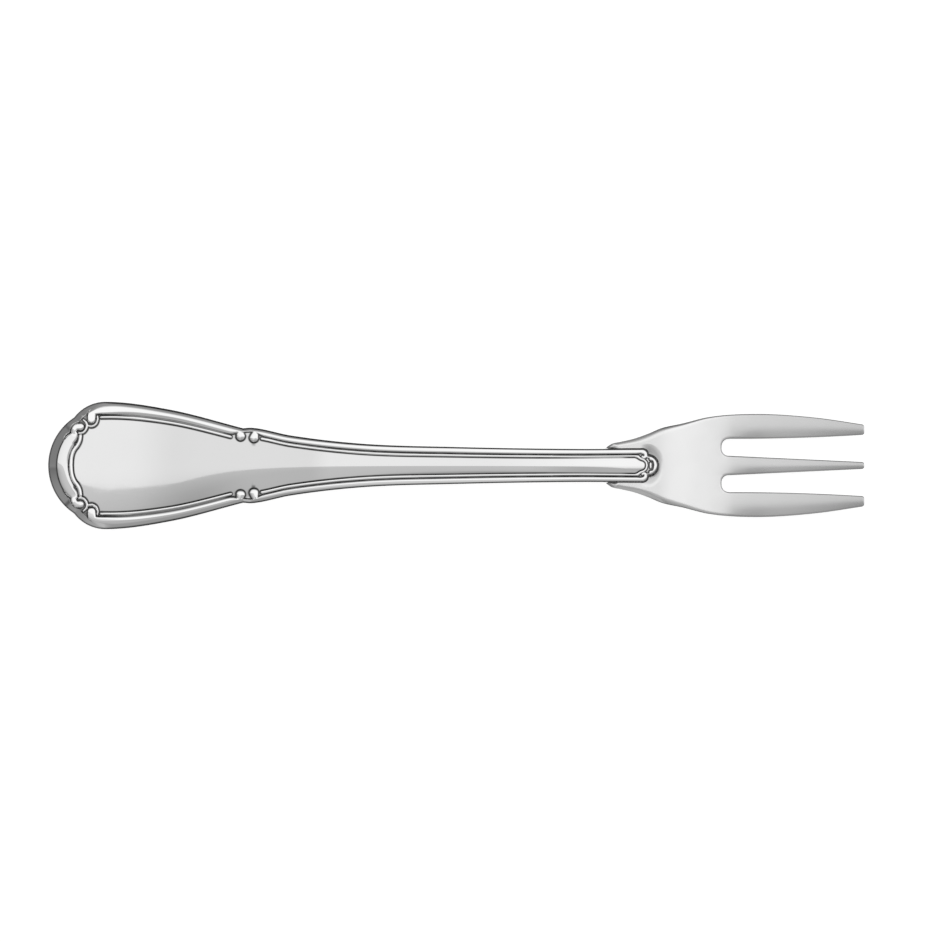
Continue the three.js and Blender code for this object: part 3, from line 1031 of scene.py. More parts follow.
@dataclass
class Head:
    """The stamped head with three tines.

    Sizes are in millimetres, and places run from the end of its tail.
    """

    # Plan
    length: float = HEAD_BOX[1, 0] - HEAD_BOX[0, 0]
    tine_length: float = 25.8
    middle_root: float = 1.75
    middle_tip: float = 0.62
    slot_root: float = 3.1
    slot_tip: float = 4.95
    slot_bow: float = 0.2
    slot_squareness: float = 2.5
    tip_round: float = 0.45

    # Side view
    lap_length: float = STRAP_TIP - TAIL_AT
    root_thickness: float = 1.7
    tip_thickness: float = 1.1
    belly: float = 23.5
    tip_rise: float = 4.2
    under_round: float = 0.5

    # Hollow round the strap's tip, and bevelled shoulders beside the strap
    dish_depth: float = 0.24
    dish_centre: float = 7.75
    dish_start: Span = (-1.6, 0.4)
    dish_stretch: float = 0.72
    dish_floor: float = 1.3
    dish_radius: float = 2.75
    dish_margin: float = 1.0
    facet_length: float = 2.4
    facet_skew: float = 0.9
    facet_from: float = 3.05
    facet_ease: Span = (-0.2, 0.05)
    facet_slope: float = 0.28

    # Painted shade
    # painted shade in the hollow round the strap's tip
    dish_painted_shade: float = 0.27
    dish_shade_full: float = 0.4
    # painted shade on the underside
    back_painted_shade: float = 0.4
    rim_fade: float = 0.05

    # Rows along the head, closer together towards the slots' ends and the tips
    close_tail: float = 1.5
    tail_rows: int = 9
    neck_rows: int = 90
    root_length: float = 2.4
    root_rows: int = 15
    fork_length: float = 2.5
    fork_rows: int = 9
    fork_crowding: float = 1.5
    tine_rows: int = 44
    tip_length: float = 0.9
    tip_rows: int = 12
    crowding: float = 1.8

    # Lanes across one half of it
    middle_lanes: int = 12
    middle_crowding: float = 1.7
    slot_lanes: int = 16
    outer_lanes: int = 24

    def __post_init__(self) -> None:
        """Works out the places and curves that follow from the sizes."""
        self.slot_start = self.length - self.tine_length + self.slot_root / 2
        self.root_from = self.slot_start - self.slot_root / 2 - self.root_length
        self.half_width = curve_through(
            (
                (0.0, 3.1), (1.3, 3.95), (2.6, 4.24), (5.2, 4.85), (7.8, 5.75), (10.2, 6.75), (14.0, 7.6),
                (19.0, 8.8), (27.4, 9.35), (38.0, 8.7), (self.length, 7.4),
            )
        )
        self.edge_round = curve_through(
            (
                (0.0, 0.6), (4.0, 0.7), (7.0, 0.95), (10.0, 1.2), (14.0, 0.9), (20.0, 0.5), (28.0, 0.3),
                (self.length, 0.28),
            )
        )
        self.edge_slope = curve_through(((0.0, 0.9), (3.5, 0.68), (7.0, 0.68), (10.0, 0.9), (14.0, 0.96)))
        self.edge_roundness = curve_through(((0.0, 2.0), (3.5, 1.5), (7.0, 1.6), (10.0, 2.6), (14.0, 3.0)))
        crown = ((self.slot_start - 4, 0.0), (self.slot_start + 6, 0.11), (self.length, 0.05))
        self.tine_crown = curve_through(crown, True)

    def belly_height(self, x: np.ndarray) -> np.ndarray:
        """Height of the underside, which dips to the table and rises to the tips.

        Args:
            x: places along the head.

        Returns:
            The height at each place.
        """
        drop = NECK_RISE * (1 - smoothstep(x, self.lap_length, self.belly))
        share = np.maximum(0, (x - self.belly) / (self.length - self.belly))
        return drop + self.tip_rise * share**2

    def thickness(self, x: np.ndarray) -> np.ndarray:
        """Thickness of the sheet metal."""
        share = smoothstep(x, self.lap_length, self.length)
        return self.root_thickness + (self.tip_thickness - self.root_thickness) * share

    def _slot_side(self, x: np.ndarray, root: float, tip: float, bow: float) -> np.ndarray:
        """One side of the slot, carried on towards the tail in step with the outline.

        Args:
            x: places along the head.
            root: distance from the middle line where the slot starts.
            tip: the same at the tips.
            bow: how far the side bows towards the middle tine.

        Returns:
            The distance from the middle line at each place.
        """
        share = np.clip((x - self.slot_start) / (self.length - self.slot_start), 0, 1)
        bowed = (root + tip) / 2 - 2 * bow
        tine = (1 - share) ** 2 * root + 2 * share * (1 - share) * bowed + share**2 * tip
        carried = self.half_width(x) / self.half_width(np.array(self.slot_start)) * root
        return np.where(x > self.slot_start, tine, carried)

    def slot_inner(self, x: np.ndarray) -> np.ndarray:
        """Side of the middle tine."""
        return self._slot_side(x, self.middle_root, self.middle_tip, 0.0)

    def slot_outer(self, x: np.ndarray) -> np.ndarray:
        """Inner side of the outer tine."""
        root, tip = self.middle_root + self.slot_root, self.middle_tip + self.slot_tip
        return self._slot_side(x, root, tip, self.slot_bow)

    def _rows(self) -> tuple[np.ndarray, slice]:
        """Lays the rows along the head.

        Returns:
            Their places, and which of them bend round the end of the slot.
        """
        neck = divide(((0.0, self.tail_rows), (self.close_tail, self.neck_rows), (self.root_from, 0)))
        root = self.root_from + (self.slot_start - self.root_from) * crowded(self.root_rows, self.crowding)
        into_fork = np.linspace(0, 1, self.fork_rows)[1:] ** self.fork_crowding
        fork = self.slot_start + self.fork_length * into_fork
        tips = self.length - self.tip_length * (1 - crowded(self.tip_rows, self.crowding))
        tines = np.linspace(fork[-1], tips[0], self.tine_rows)[1:-1]
        return np.concatenate([neck, root, fork, tines, tips]), slice(len(neck), len(neck) + len(root))

    def _slot_lanes(self, rows: np.ndarray, in_root: slice) -> tuple[np.ndarray, np.ndarray]:
        """Lays the lanes between the tines, which run round the slot's end.

        Args:
            rows: places of the rows.
            in_root: which of them bend round the slot's end.

        Returns:
            (rows, lanes) places along the head and distances from its middle line.
        """
        turn = np.linspace(0, math.pi, self.slot_lanes + 1)[1:-1]
        power = 2 / self.slot_squareness
        across = np.sign(np.cos(turn)) * np.abs(np.cos(turn)) ** power
        slot_end = self.slot_start - self.slot_root / 2 * np.sin(turn) ** power
        x = np.repeat(rows[:, None], len(turn), axis=1)
        bend = crowded(self.root_rows, self.crowding)[:, None]
        x[in_root] = self.root_from + (slot_end - self.root_from) * bend
        inner, outer = self.slot_inner(x), self.slot_outer(x)
        return x, (inner + outer) / 2 - (outer - inner) / 2 * across

    def plan(self) -> tuple[np.ndarray, np.ndarray, int]:
        """Lays the rows and lanes of one half of the head.

        Returns:
            (rows, lanes, 2) points, each lane's place across its tine from -1 to 1, and the row that runs
            round the end of the slot.
        """
        rows, in_root = self._rows()
        to_tip = np.minimum(self.length - rows, self.tip_round)
        pinch = self.tip_round - np.sqrt(self.tip_round**2 - (self.tip_round - to_tip) ** 2)
        middle = crowded(self.middle_lanes + 1, self.middle_crowding)
        outer = -np.cos(np.linspace(0, math.pi, self.outer_lanes + 1))
        side, wide = self.slot_outer(rows), self.half_width(rows)
        middle_y = middle * (self.slot_inner(rows) - pinch)[:, None]
        outer_y = ((side + wide) / 2)[:, None] + outer * ((wide - side) / 2 - pinch)[:, None]
        slot_x, slot_y = self._slot_lanes(rows, in_root)
        middle_x = np.broadcast_to(rows[:, None], middle_y.shape)
        outer_x = np.broadcast_to(rows[:, None], outer_y.shape)
        x = np.concatenate([middle_x, slot_x, outer_x], axis=1)
        y = np.concatenate([middle_y, slot_y, outer_y], axis=1)
        across = np.concatenate([middle, np.ones(slot_x.shape[1]), outer])
        return np.dstack([x, y]), across, in_root.stop - 1

    def outline(self, plan: np.ndarray, root_row: int) -> np.ndarray:
        """The half head's free edge.

        Args:
            plan: (rows, lanes, 2) points.
            root_row: the row that runs round the end of the slot.

        Returns:
            Points from the tail round the outer tine and the slot to the middle tine's tip.
        """
        first_outer = self.middle_lanes + self.slot_lanes
        outer_tip = plan[-1, : first_outer - 1 : -1]
        slot_outer = plan[-2:root_row:-1, first_outer]
        slot_end = plan[root_row, first_outer : self.middle_lanes : -1]
        slot_inner = plan[root_row:, self.middle_lanes]
        middle_tip = plan[-1, self.middle_lanes - 1 :: -1]
        return np.concatenate([plan[:-1, -1], outer_tip, slot_outer, slot_end, slot_inner, middle_tip])

    def dish(self, plan: np.ndarray, inset: np.ndarray) -> np.ndarray:
        """How deep the hollow round the strap's tip is.

        Args:
            plan: (rows, lanes, 2) points.
            inset: their distance in from the edge.

        Returns:
            0 outside the hollow, rising to 1 on its floor.
        """
        x, y = plan[..., 0] - self.dish_centre, plan[..., 1]
        from_tip = np.hypot(np.maximum(x, 0), self.dish_stretch * y)
        share = np.clip((self.dish_radius - from_tip) / (self.dish_radius - self.dish_floor), 0, 1)
        return share * smoothstep(x, *self.dish_start) * smoothstep(inset, 0, self.dish_margin)

    def facet(self, plan: np.ndarray) -> np.ndarray:
        """Depth of the bevelled shoulders beside the strap, at the end of the tail.

        Args:
            plan: (rows, lanes, 2) points.

        Returns:
            The depth at each point.
        """
        x, y = plan[..., 0], plan[..., 1] - self.facet_from
        from_line = self.facet_length - self.facet_skew * y - x
        return self.facet_slope * np.maximum(from_line, 0) * smoothstep(y, *self.facet_ease)

    def heights(
        self, plan: np.ndarray, across: np.ndarray, inset: np.ndarray
    ) -> tuple[np.ndarray, np.ndarray]:
        """Heights of the two faces.

        Args:
            plan: (rows, lanes, 2) points.
            across: each lane's place across its tine.
            inset: the points' distance in from the edge.

        Returns:
            Heights of the top and of the underside, which meet at the edge.
        """
        x = plan[..., 0]
        belly = self.belly_height(x)
        top = belly + self.thickness(x) - self.tine_crown(x) * across**2
        top -= edge_fall(inset, self.edge_round(x), self.edge_slope(x), self.edge_roundness(x))
        top -= self.dish_depth * self.dish(plan, inset)
        top -= self.facet(plan)
        turned = 1 - np.minimum(inset / self.under_round, 1)
        return top, belly + (top - belly) * (1 - np.sqrt(1 - turned**2))

    def build(self) -> bpy.types.Object:
        """Makes the head's mesh: the top, the underside and the upright end of the tail.

        Returns:
            The piece, not yet dressed.
        """
        plan, across, root_row = self.plan()
        shape = plan.shape[:2]
        inset = distance_to(plan.reshape(-1, 2), self.outline(plan, root_row)).reshape(shape)
        heights = self.heights(plan, across, inset)
        top, under = (np.dstack([plan + (TAIL_AT, 0.0), height]) for height in heights)
        hole = np.zeros((shape[0] - 1, shape[1] - 1), bool)
        hole[root_row:, self.middle_lanes : self.middle_lanes + self.slot_lanes] = True
        skin = Sheets()
        # painted shade in the hollow round the strap's tip
        skin.add(top, -self.dish_painted_shade * smoothstep(self.dish(plan, inset), 0, self.dish_shade_full), hole)
        # painted shade on the underside, clear of the edge
        skin.add(under, -self.back_painted_shade * smoothstep(inset, 0, self.rim_fade), hole)
        skin.add(np.stack([under[0], (top[0] + under[0]) / 2, top[0]]))
        return skin.finish("stamped_head")

    def dress(self, piece: bpy.types.Object, material: bpy.types.Material) -> None:
        """Gives the head its silver."""
        place(piece, Node.HEAD, Slot.HEAD, material)


# Solder

@dataclass
class Solder:
    """The film of hard solder between strap and tail, with the thin fillet that shows round the strap.

    Attributes:
        handle: the handle whose strap it holds.
        bottom: height of the head's top, which it lies on, in millimetres.
        fillet: how far the fillet stands out from the strap.
        fillet_foot: height of the fillet's outer edge.
    """

    handle: Handle
    bottom: float = SOLDER_BOX[0, 2]
    fillet: float = 0.27
    fillet_foot: float = 6.05

    def build(self) -> bpy.types.Object:
        """Makes the film's mesh: its top with the fillet, its underside and its butt end.

        Returns:
            The piece, not yet dressed.
        """
        stations = self.handle.edge
        lapped = stations.edge[:, 0] >= TAIL_AT
        edge, foot = stations.edge[lapped], stations.foot[lapped]
        grown = edge + (edge - foot) / stations.reach()[lapped, None] * self.fillet
        halfway = (edge + foot) / 2
        skirt = self._level(grown, self.fillet_foot)
        above = [self._level(ring, self.handle.strap_bottom) for ring in (edge, halfway, foot)]
        below = [self._level(ring, self.bottom) for ring in (halfway, foot)]
        top = np.stack([skirt, *above], axis=1)
        under = np.stack([skirt, *below], axis=1)
        skin = Sheets()
        # the top is darkened all over, which shows as a near-black line round the strap
        skin.add(top, -np.ones(top.shape[:2]))
        skin.add(under)
        skin.add(np.stack([under[0][[0, 0, 1, 2]], top[0]]))
        return skin.finish("solder_film")

    @staticmethod
    def _level(ring: np.ndarray, height: float) -> np.ndarray:
        """Points of the plan at one height."""
        return np.column_stack([ring, np.full(len(ring), height)])

    def dress(self, piece: bpy.types.Object, material: bpy.types.Material) -> None:
        """Gives the film its dull solder."""
        place(piece, Node.SOLDER, Slot.SOLDER, material)


# Finishes

class Socket(Enum):
    """Kinds of socket that the shared effects have."""

    VALUE = "NodeSocketFloat"
    COLOUR = "NodeSocketColor"


class Tree:
    """A node tree with short ways to add and link nodes."""

    def __init__(self, tree: bpy.types.NodeTree) -> None:
        """Wraps a node tree."""
        self.tree = tree

    def add(self, kind: str, **settings: object) -> bpy.types.Node:
        """Adds a node and sets its properties, or its inputs where a setting is named for one.

        Args:
            kind: the node's type.
            settings: property names, or input names with spaces written as underscores.

        Returns:
            The node.
        """
        node = self.tree.nodes.new(kind)
        for name, value in settings.items():
            if hasattr(node, name):
                setattr(node, name, value)
            else:
                self.feed(value, node.inputs[name.replace("_", " ")])
        return node

    def feed(self, value: object, socket: bpy.types.NodeSocket) -> None:
        """Links an output to a socket, or sets the socket's own value.

        Args:
            value: the output or the value.
            socket: the socket.
        """
        if isinstance(value, bpy.types.NodeSocket):
            self.tree.links.new(value, socket)
        else:
            socket.default_value = value

    def math(self, operation: str, first: object, second: object) -> bpy.types.NodeSocket:
        """Works on two values or outputs.

        Args:
            operation: the math node's operation.
            first: the first value.
            second: the second value.

        Returns:
            The result.
        """
        node = self.add("ShaderNodeMath", operation=operation)
        self.feed(first, node.inputs[0])
        self.feed(second, node.inputs[1])
        return node.outputs[0]

    def product(self, *values: object) -> bpy.types.NodeSocket:
        """Several values or outputs multiplied."""
        return functools.reduce(functools.partial(self.math, "MULTIPLY"), values)

    def total(self, *values: object) -> bpy.types.NodeSocket:
        """Several values or outputs added up."""
        return functools.reduce(functools.partial(self.math, "ADD"), values)

    def greatest(self, *values: object) -> bpy.types.NodeSocket:
        """The greatest of several values or outputs."""
        return functools.reduce(functools.partial(self.math, "MAXIMUM"), values)

    def ramp(
        self, value: object, low: object, high: object, at_low: float = 0.0, at_high: float = 1.0
    ) -> bpy.types.NodeSocket:
        """A smooth change from one value to another.

        Args:
            value: the input.
            low: where the change starts.
            high: where it is complete.
            at_low: the value at its start.
            at_high: the value at its end.

        Returns:
            The result.
        """
        node = self.add("ShaderNodeMapRange", interpolation_type="SMOOTHSTEP")
        for socket, number in zip(node.inputs, (value, low, high, at_low, at_high)):
            self.feed(number, socket)
        return node.outputs["Result"]

    def mix(self, share: object, first: object, second: object) -> bpy.types.NodeSocket:
        """A colour between two colours.

        Args:
            share: how much of the second colour shows, from 0 to 1.
            first: the first colour.
            second: the second colour.

        Returns:
            The mixed colour.
        """
        node = self.add("ShaderNodeMix", data_type="RGBA")
        sockets = [socket for socket in node.inputs if socket.enabled]
        for socket, value in zip(sockets, (share, first, second)):
            self.feed(value, socket)
        return next(socket for socket in node.outputs if socket.enabled)


class Group(Tree):
    """A shader node group, with its inputs as source and its outputs as result."""

    def __init__(self, name: str, inputs: dict[str, Socket], outputs: dict[str, Socket]) -> None:
        """Starts the group.

        Args:
            name: name of the group.
            inputs: kinds of socket by input name.
            outputs: kinds of socket by output name.
        """
        super().__init__(bpy.data.node_groups.new(name, "ShaderNodeTree"))
        for side, sockets in (("INPUT", inputs), ("OUTPUT", outputs)):
            for title, kind in sockets.items():
                self.tree.interface.new_socket(title, in_out=side, socket_type=kind.value)
        self.source = self.tree.nodes.new("NodeGroupInput").outputs
        self.result = self.tree.nodes.new("NodeGroupOutput").inputs


@dataclass(frozen=True)
class Noise:
    """A cloudy pattern.

    Attributes:
        scale: how many clouds there are to a metre, or to a unit of a stretched place.
        detail: how many finer layers lie on them.
        roughness: how strong the finer layers are.
        span: the noise's values between which a cloud sets in.
    """

    scale: float
    detail: float
    roughness: float
    span: Span

    def add(self, tree: Tree, at: bpy.types.NodeSocket) -> bpy.types.NodeSocket:
        """Puts the pattern into a tree, at a place on the fork."""
        settings = {"Scale": self.scale, "Detail": self.detail, "Roughness": self.roughness}
        return tree.add("ShaderNodeTexNoise", Vector=at, **settings).outputs["Fac"]


@dataclass(frozen=True)
class HandPolish:
    """Hand polish: cloudy haze and hairlines along the fork, as a roughness and a bump height."""

    haze: Noise = Noise(110.0, 5.0, 0.62, (0.35, 0.7))
    hairline: Noise = Noise(1.0, 3.0, 0.7, (0.5, 0.75))
    hairline_stretch: tuple[float, float, float] = (260.0, 5200.0, 5200.0)
    hairline_turn: tuple[float, float, float] = (0.0, 0.0, 0.06)

    def group(self) -> bpy.types.NodeTree:
        """Makes the shared node group.

        Returns:
            The group.
        """
        inputs = dict.fromkeys(("Roughness", "Haze", "Hairlines"), Socket.VALUE)
        tree = Group("hand_polish", inputs, {"Roughness": Socket.VALUE, "Height": Socket.VALUE})
        at = tree.add("ShaderNodeTexCoord").outputs["Object"]
        settings = {"Rotation": self.hairline_turn, "Scale": self.hairline_stretch}
        stretched = tree.add("ShaderNodeMapping", Vector=at, **settings).outputs[0]
        haze = self.haze.add(tree, at)
        lines = self.hairline.add(tree, stretched)
        hazed = tree.product(tree.ramp(haze, *self.haze.span), tree.source["Haze"])
        lined = tree.product(tree.ramp(lines, *self.hairline.span), tree.source["Hairlines"])
        tree.feed(tree.total(tree.source["Roughness"], hazed, lined), tree.result["Roughness"])
        tree.feed(lines, tree.result["Height"])
        return tree.tree


@dataclass(frozen=True)
class StruckRelief:
    """Colour of struck metal: rubbed bright on crests, tarnished in lines, darkened elsewhere by painted
    shade, and shifted along the fork by wear on the handle and by painted shade on the head.

    Attributes:
        patches: uneven spots in the tarnish.
        patch_least: how much of the tarnish shows at least.
        film: a faint veil of tarnish on the open metal.
        film_most: how much of that shows at most.
        held_from: places along the fork, in metres, between which the held stretch of the handle sets in.
        held_to: places between which it ends.
    """

    patches: Noise = Noise(420.0, 4.0, 0.6, (0.3, 0.6))
    patch_least: float = 0.9
    film: Noise = Noise(45.0, 3.0, 0.5, (0.4, 0.8))
    film_most: float = 0.03
    held_from: Span = (-0.059, -0.05)
    held_to: Span = (-0.027, -0.0225)

    def group(self) -> bpy.types.NodeTree:
        """Makes the shared node group.

        Returns:
            The group.
        """
        inputs = dict.fromkeys(("Relief", "Worn from", "Worn to", "Strength"), Socket.VALUE)
        inputs |= dict.fromkeys(("Metal", "Worn", "Held", "Crest", "Tarnish"), Socket.COLOUR)
        tree = Group("struck_relief", inputs, {"Color": Socket.COLOUR, "Mask": Socket.VALUE})
        source = tree.source
        at = tree.add("ShaderNodeTexCoord").outputs["Object"]
        along = tree.add("ShaderNodeSeparateXYZ", Vector=at).outputs["X"]
        # darkness: tarnish in the struck lines, and painted shade where the relief attribute marks it
        # elsewhere
        darkness = tree.greatest(tree.product(source["Relief"], -1.0), 0.0)
        patches = tree.ramp(self.patches.add(tree, at), *self.patches.span, self.patch_least)
        mask = tree.product(darkness, patches, source["Strength"])
        veil = tree.ramp(self.film.add(tree, at), *self.film.span, 0.0, self.film_most)
        # shift along the fork: wear on the handle's neck, painted shade towards the tines on the head
        shift_share = tree.ramp(along, source["Worn from"], source["Worn to"])
        worn_and_shaded = tree.mix(shift_share, source["Metal"], source["Worn"])
        held = tree.product(tree.ramp(along, *self.held_from), tree.ramp(along, *self.held_to, 1.0, 0.0))
        along_colour = tree.mix(held, worn_and_shaded, source["Held"])
        rubbed = tree.mix(tree.greatest(source["Relief"], 0.0), along_colour, source["Crest"])
        darkened = tree.mix(tree.greatest(mask, veil), rubbed, source["Tarnish"])
        tree.feed(darkened, tree.result["Color"])
        tree.feed(mask, tree.result["Mask"])
        return tree.tree


@dataclass(frozen=True)
class Metal:
    """A worked metal finish.

    Attributes:
        name: name of the material.
        colour: colour of the clean metal.
        worn_and_shaded: colour the metal changes to along the fork: lighter from wear on the handle's neck,
            and painted shade that darkens the head towards the tines.
        change_span: where along the fork that change starts and where it is complete, in metres.
        held: colour of the metal where the handle is held.
        crest: colour of rubbed crests.
        tarnish_and_shade: colour of the tarnish in the struck lines and of the painted shade that the relief
            attribute marks elsewhere.
        tarnish_and_shade_strength: how much of the tarnish and painted shade shows, from 0 to 1.
        roughness: lowest roughness.
        haze: roughness that cloudy haze adds.
        hairlines: roughness that polishing lines add.
        grain: height of the polishing lines in metres.
        tarnish_and_shade_roughness: roughness that tarnish and painted shade add.
    """

    name: str
    colour: Colour
    worn_and_shaded: Colour
    change_span: Span
    held: Colour
    crest: Colour
    tarnish_and_shade: Colour
    tarnish_and_shade_strength: float
    roughness: float
    haze: float
    hairlines: float
    grain: float
    tarnish_and_shade_roughness: float = 0.3

    def material(self, polish: bpy.types.NodeTree, relief: bpy.types.NodeTree) -> bpy.types.Material:
        """Makes the material from the shared effects.

        Args:
            polish: the hand polish group.
            relief: the struck relief group.

        Returns:
            The material.
        """
        made = bpy.data.materials.new(self.name)
        made.use_nodes = True
        tree = Tree(made.node_tree)
        shader = made.node_tree.nodes["Principled BSDF"].inputs
        relief_effect = self._relief_effect(tree, relief)
        settings = {"Roughness": self.roughness, "Haze": self.haze, "Hairlines": self.hairlines}
        worked = tree.add("ShaderNodeGroup", node_tree=polish, **settings).outputs
        bump = tree.add("ShaderNodeBump", Strength=1.0, Distance=self.grain, Height=worked["Height"])
        dulled = tree.product(relief_effect["Mask"], self.tarnish_and_shade_roughness)
        tree.feed(relief_effect["Color"], shader["Base Color"])
        tree.feed(tree.total(worked["Roughness"], dulled), shader["Roughness"])
        tree.feed(bump.outputs["Normal"], shader["Normal"])
        shader["Metallic"].default_value = 1.0
        return made

    def _relief_effect(self, tree: Tree, relief: bpy.types.NodeTree) -> bpy.types.NodeOutputs:
        """Puts the struck relief effect into the material's tree.

        Args:
            tree: the material's tree.
            relief: the struck relief group.

        Returns:
            The effect's outputs.
        """
        height = tree.add("ShaderNodeAttribute", attribute_name=RELIEF).outputs["Fac"]
        change_from, change_to = self.change_span
        relief_effect = tree.add(
            "ShaderNodeGroup",
            node_tree=relief,
            Relief=height,
            Metal=self.colour,
            Worn=self.worn_and_shaded,
            Worn_from=change_from,
            Worn_to=change_to,
            Held=self.held,
            Crest=self.crest,
            Tarnish=self.tarnish_and_shade,
            Strength=self.tarnish_and_shade_strength,
        )
        return relief_effect.outputs


def grey(level: float) -> Colour:
    """A neutral colour."""
    return (level, level, level, 1.0)


HANDLE_SILVER = Metal(
    name="handle_silver",
    colour=grey(0.85),
    worn_and_shaded=grey(0.96),
    change_span=(0.006, 0.03),
    held=grey(0.76),
    crest=grey(0.99),
    # colour of the tarnish in the struck lines and of the painted shade on the edge, lobe corner and back
    tarnish_and_shade=grey(0.012),
    tarnish_and_shade_strength=0.98,
    roughness=0.02,
    haze=0.02,
    hairlines=0.02,
    grain=4e-8,
)
HEAD_SILVER = Metal(
    name="head_silver",
    colour=grey(0.9),
    # painted shade: the head darkens towards the tines
    worn_and_shaded=grey(0.67),
    change_span=(0.041, 0.056),
    held=grey(0.9),
    crest=grey(0.9),
    # painted shade colour for the hollow round the strap's tip and for the underside
    tarnish_and_shade=grey(0.05),
    tarnish_and_shade_strength=0.9,
    roughness=0.17,
    haze=0.04,
    hairlines=0.02,
    grain=3e-8,
)
SOLDER_GREY = Metal(
    name="hard_solder",
    colour=grey(0.42),
    worn_and_shaded=grey(0.42),
    change_span=(0.03, 0.04),
    held=grey(0.42),
    crest=grey(0.5),
    # colour of the solder's darkened top
    tarnish_and_shade=grey(0.04),
    tarnish_and_shade_strength=0.97,
    roughness=0.35,
    haze=0.15,
    hairlines=0.05,
    grain=1e-6,
)


# Studio

@dataclass(frozen=True)
class Softbox:
    """A rectangular lamp that faces down.

    Attributes:
        name: name of the lamp.
        place: its middle, in metres.
        size: its sides, in metres.
        turn: turn about the upright, in degrees.
        brightness: how bright its face looks, where 1 is white.
    """

    name: str
    place: tuple[float, float, float]
    size: Span
    turn: float
    brightness: float

    def build(self) -> bpy.types.Object:
        """Makes the lamp.

        Returns:
            The lamp, linked to the scene.
        """
        data = bpy.data.lights.new(self.name, "AREA")
        data.shape = "RECTANGLE"
        data.size, data.size_y = self.size
        data.energy = self.brightness * math.pi * self.size[0] * self.size[1]
        lamp = link_object(self.name, data)
        lamp.location = self.place
        lamp.rotation_euler = (0.0, 0.0, math.radians(self.turn))
        return lamp


@dataclass(frozen=True)
class Room:
    """The room that the metal mirrors: pale ahead, dark behind the fork's upper side and its broad end.

    Ramps run along a direction's x, which points to the tines, its y, which points across the fork to the
    photo's top, or its z, which points up. Those that hold a brightness have 1 for white.
    """

    wall: Ramp = (-0.7, -0.05, 0.31, 0.45)  # along y: the pale wall in front of the fork
    ceiling: Ramp = (-0.06, 0.0, 0.0, 0.23)  # along y: brighter from straight above on
    patch_start: Ramp = (-0.75, -0.22, 0.0, 0.16)  # along x: a pale patch on the wall
    patch_end: Ramp = (-0.14, -0.02, 1.0, 0.0)  # along x
    patch_top: Ramp = (-0.06, 0.0, 1.0, 0.0)  # along y
    patch_upper: Ramp = (-0.34, -0.24, 0.0, 1.0)  # along y: its upper part
    patch_lower: Ramp = (-0.6, -0.45, 1.0, 0.0)  # along y: its lower part
    tine_light: Ramp = (0.0, 0.6, 0.0, 0.08)  # along x: a little more light towards the tines
    broad_dim: Ramp = (-0.7, -0.1, 0.85, 1.0)  # along x: a little less towards the broad end
    behind_dim: Ramp = (0.42, 0.66, 1.0, 0.42)  # along y: shade behind the fork
    behind_dark: Ramp = (0.9, 0.985, 1.0, 0.05)  # along y: dark low down behind it
    floor_dim: Ramp = (0.1, 0.45, 0.08, 1.0)  # along z: shade near the floor
    screen_end: Ramp = (-0.5, -0.25, 0.6, 0.0)  # along x: a dark screen beside the broad end
    screen_top: Ramp = (0.54, 0.74, 1.0, 0.0)  # along z
    screen_side: Ramp = (-0.6, 0.1, 0.0, 1.0)  # along y

    def build(self) -> None:
        """Makes the room as the scene's world."""
        world = bpy.data.worlds.new("studio_room")
        bpy.context.scene.world = world
        world.use_nodes = True
        tree = Tree(world.node_tree)
        direction = tree.add("ShaderNodeTexCoord").outputs["Generated"]
        x, y, z = tree.add("ShaderNodeSeparateXYZ", Vector=direction).outputs
        shade = tree.math("MINIMUM", self._behind(tree, y), self._beside(tree, x, y, z))
        strength = tree.product(self._pale(tree, x, y), shade, tree.ramp(z, *self.floor_dim))
        background = world.node_tree.nodes["Background"].inputs
        background["Color"].default_value = grey(1.0)
        tree.feed(strength, background["Strength"])

    def _pale(self, tree: Tree, x: bpy.types.NodeSocket, y: bpy.types.NodeSocket) -> bpy.types.NodeSocket:
        """Brightness of the room before it is shaded.

        Args:
            tree: the world's tree.
            x: the direction's x.
            y: the direction's y.

        Returns:
            The brightness.
        """
        parts = tree.greatest(tree.ramp(y, *self.patch_upper), tree.ramp(y, *self.patch_lower))
        length = tree.product(tree.ramp(x, *self.patch_start), tree.ramp(x, *self.patch_end))
        patch = tree.product(length, tree.ramp(y, *self.patch_top), parts)
        front = tree.total(tree.ramp(y, *self.wall), tree.ramp(y, *self.ceiling), patch)
        lit = tree.total(front, tree.ramp(x, *self.tine_light))
        return tree.product(lit, tree.ramp(x, *self.broad_dim))

    def _behind(self, tree: Tree, y: bpy.types.NodeSocket) -> bpy.types.NodeSocket:
        """How much light is left behind the fork, from 0 to 1."""
        return tree.product(tree.ramp(y, *self.behind_dim), tree.ramp(y, *self.behind_dark))

    def _beside(
        self, tree: Tree, x: bpy.types.NodeSocket, y: bpy.types.NodeSocket, z: bpy.types.NodeSocket
    ) -> bpy.types.NodeSocket:
        """How much light the screen beside the broad end leaves, from 0 to 1."""
        screen = tree.product(tree.ramp(x, *self.screen_end), tree.ramp(z, *self.screen_top))
        return tree.math("SUBTRACT", 1.0, tree.product(screen, tree.ramp(y, *self.screen_side)))


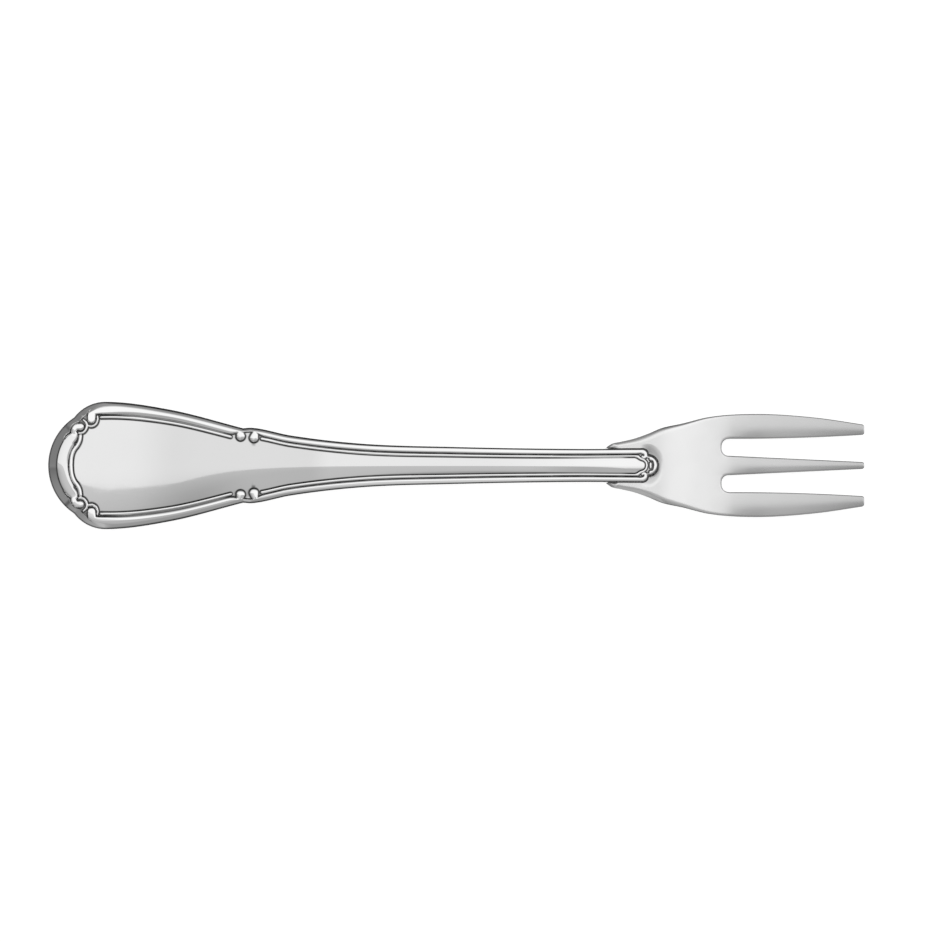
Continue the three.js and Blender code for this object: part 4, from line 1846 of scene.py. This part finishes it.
@dataclass
class Studio:
    """Floor, lights and camera. Sizes are in metres."""

    floor_size: float = 2.0
    floor_drop: float = 0.00002
    floor_colour: Colour = grey(0.5)
    floor_roughness: float = 0.9
    floor_white: float = 0.82
    camera_height: float = 3.0
    camera_clip: Span = (0.1, 20.0)
    view_width: float = 0.17085
    view_centre: tuple[float, float, float] = (0.00272, -0.001, 0.003)

    key: Softbox = Softbox("key_softbox", (0.1, 0.2228, 0.45), (1.4, 0.5), -5.5, 0.276)
    room: Room = Room()

    def build_floor(self) -> bpy.types.Object:
        """Makes the pale floor, white to the camera and in the metal, with the fork's shadow on it.

        Returns:
            The floor.
        """
        skin = bmesh.new()
        bmesh.ops.create_grid(skin, x_segments=1, y_segments=1, size=self.floor_size)
        bmesh.ops.translate(skin, verts=skin.verts[:], vec=(0.0, 0.0, -self.floor_drop))
        mesh = bpy.data.meshes.new("studio_floor")
        skin.to_mesh(mesh)
        skin.free()
        mesh.materials.append(self.floor_material())
        floor = link_object("studio_floor", mesh)
        return floor

    def floor_material(self) -> bpy.types.Material:
        """Makes pale paint that glows a little towards the camera and towards reflections.

        Returns:
            The paint.
        """
        paint = bpy.data.materials.new("studio_floor")
        paint.use_nodes = True
        tree = Tree(paint.node_tree)
        shader = paint.node_tree.nodes["Principled BSDF"].inputs
        shader["Base Color"].default_value = self.floor_colour
        shader["Roughness"].default_value = self.floor_roughness
        shader["Specular IOR Level"].default_value = 0.0
        shader["Emission Color"].default_value = grey(1.0)
        rays = tree.add("ShaderNodeLightPath").outputs
        kinds = ("Is Camera Ray", "Is Glossy Ray", "Is Transmission Ray")
        seen = tree.greatest(*(rays[kind] for kind in kinds))
        tree.feed(tree.product(seen, self.floor_white), shader["Emission Strength"])
        return paint

    def build_camera(self) -> bpy.types.Object:
        """Makes the long-lens camera that looks straight down on the fork.

        Returns:
            The camera, which the scene looks through.
        """
        data = bpy.data.cameras.new("photo_camera")
        data.lens = data.sensor_width * self.camera_height / self.view_width
        data.clip_start, data.clip_end = self.camera_clip
        camera = link_object("photo_camera", data)
        x, y, z = self.view_centre
        camera.location = (x, y, z + self.camera_height)
        bpy.context.scene.camera = camera
        return camera

    def build(self) -> None:
        """Sets the whole studio up."""
        self.build_floor()
        self.room.build()
        self.key.build()
        self.build_camera()
        bpy.context.scene.view_settings.view_transform = "Standard"


def main() -> None:
    """Builds the fork's pieces in order, dresses them and sets up the studio."""
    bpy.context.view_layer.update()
    polish = HandPolish().group()
    relief = StruckRelief().group()
    handle = Handle()
    head = Head()
    solder = Solder(handle)
    handle.dress(handle.build(), HANDLE_SILVER.material(polish, relief))
    head.dress(head.build(), HEAD_SILVER.material(polish, relief))
    solder.dress(solder.build(), SOLDER_GREY.material(polish, relief))
    Studio().build()


if __name__ == "__main__":
    main()
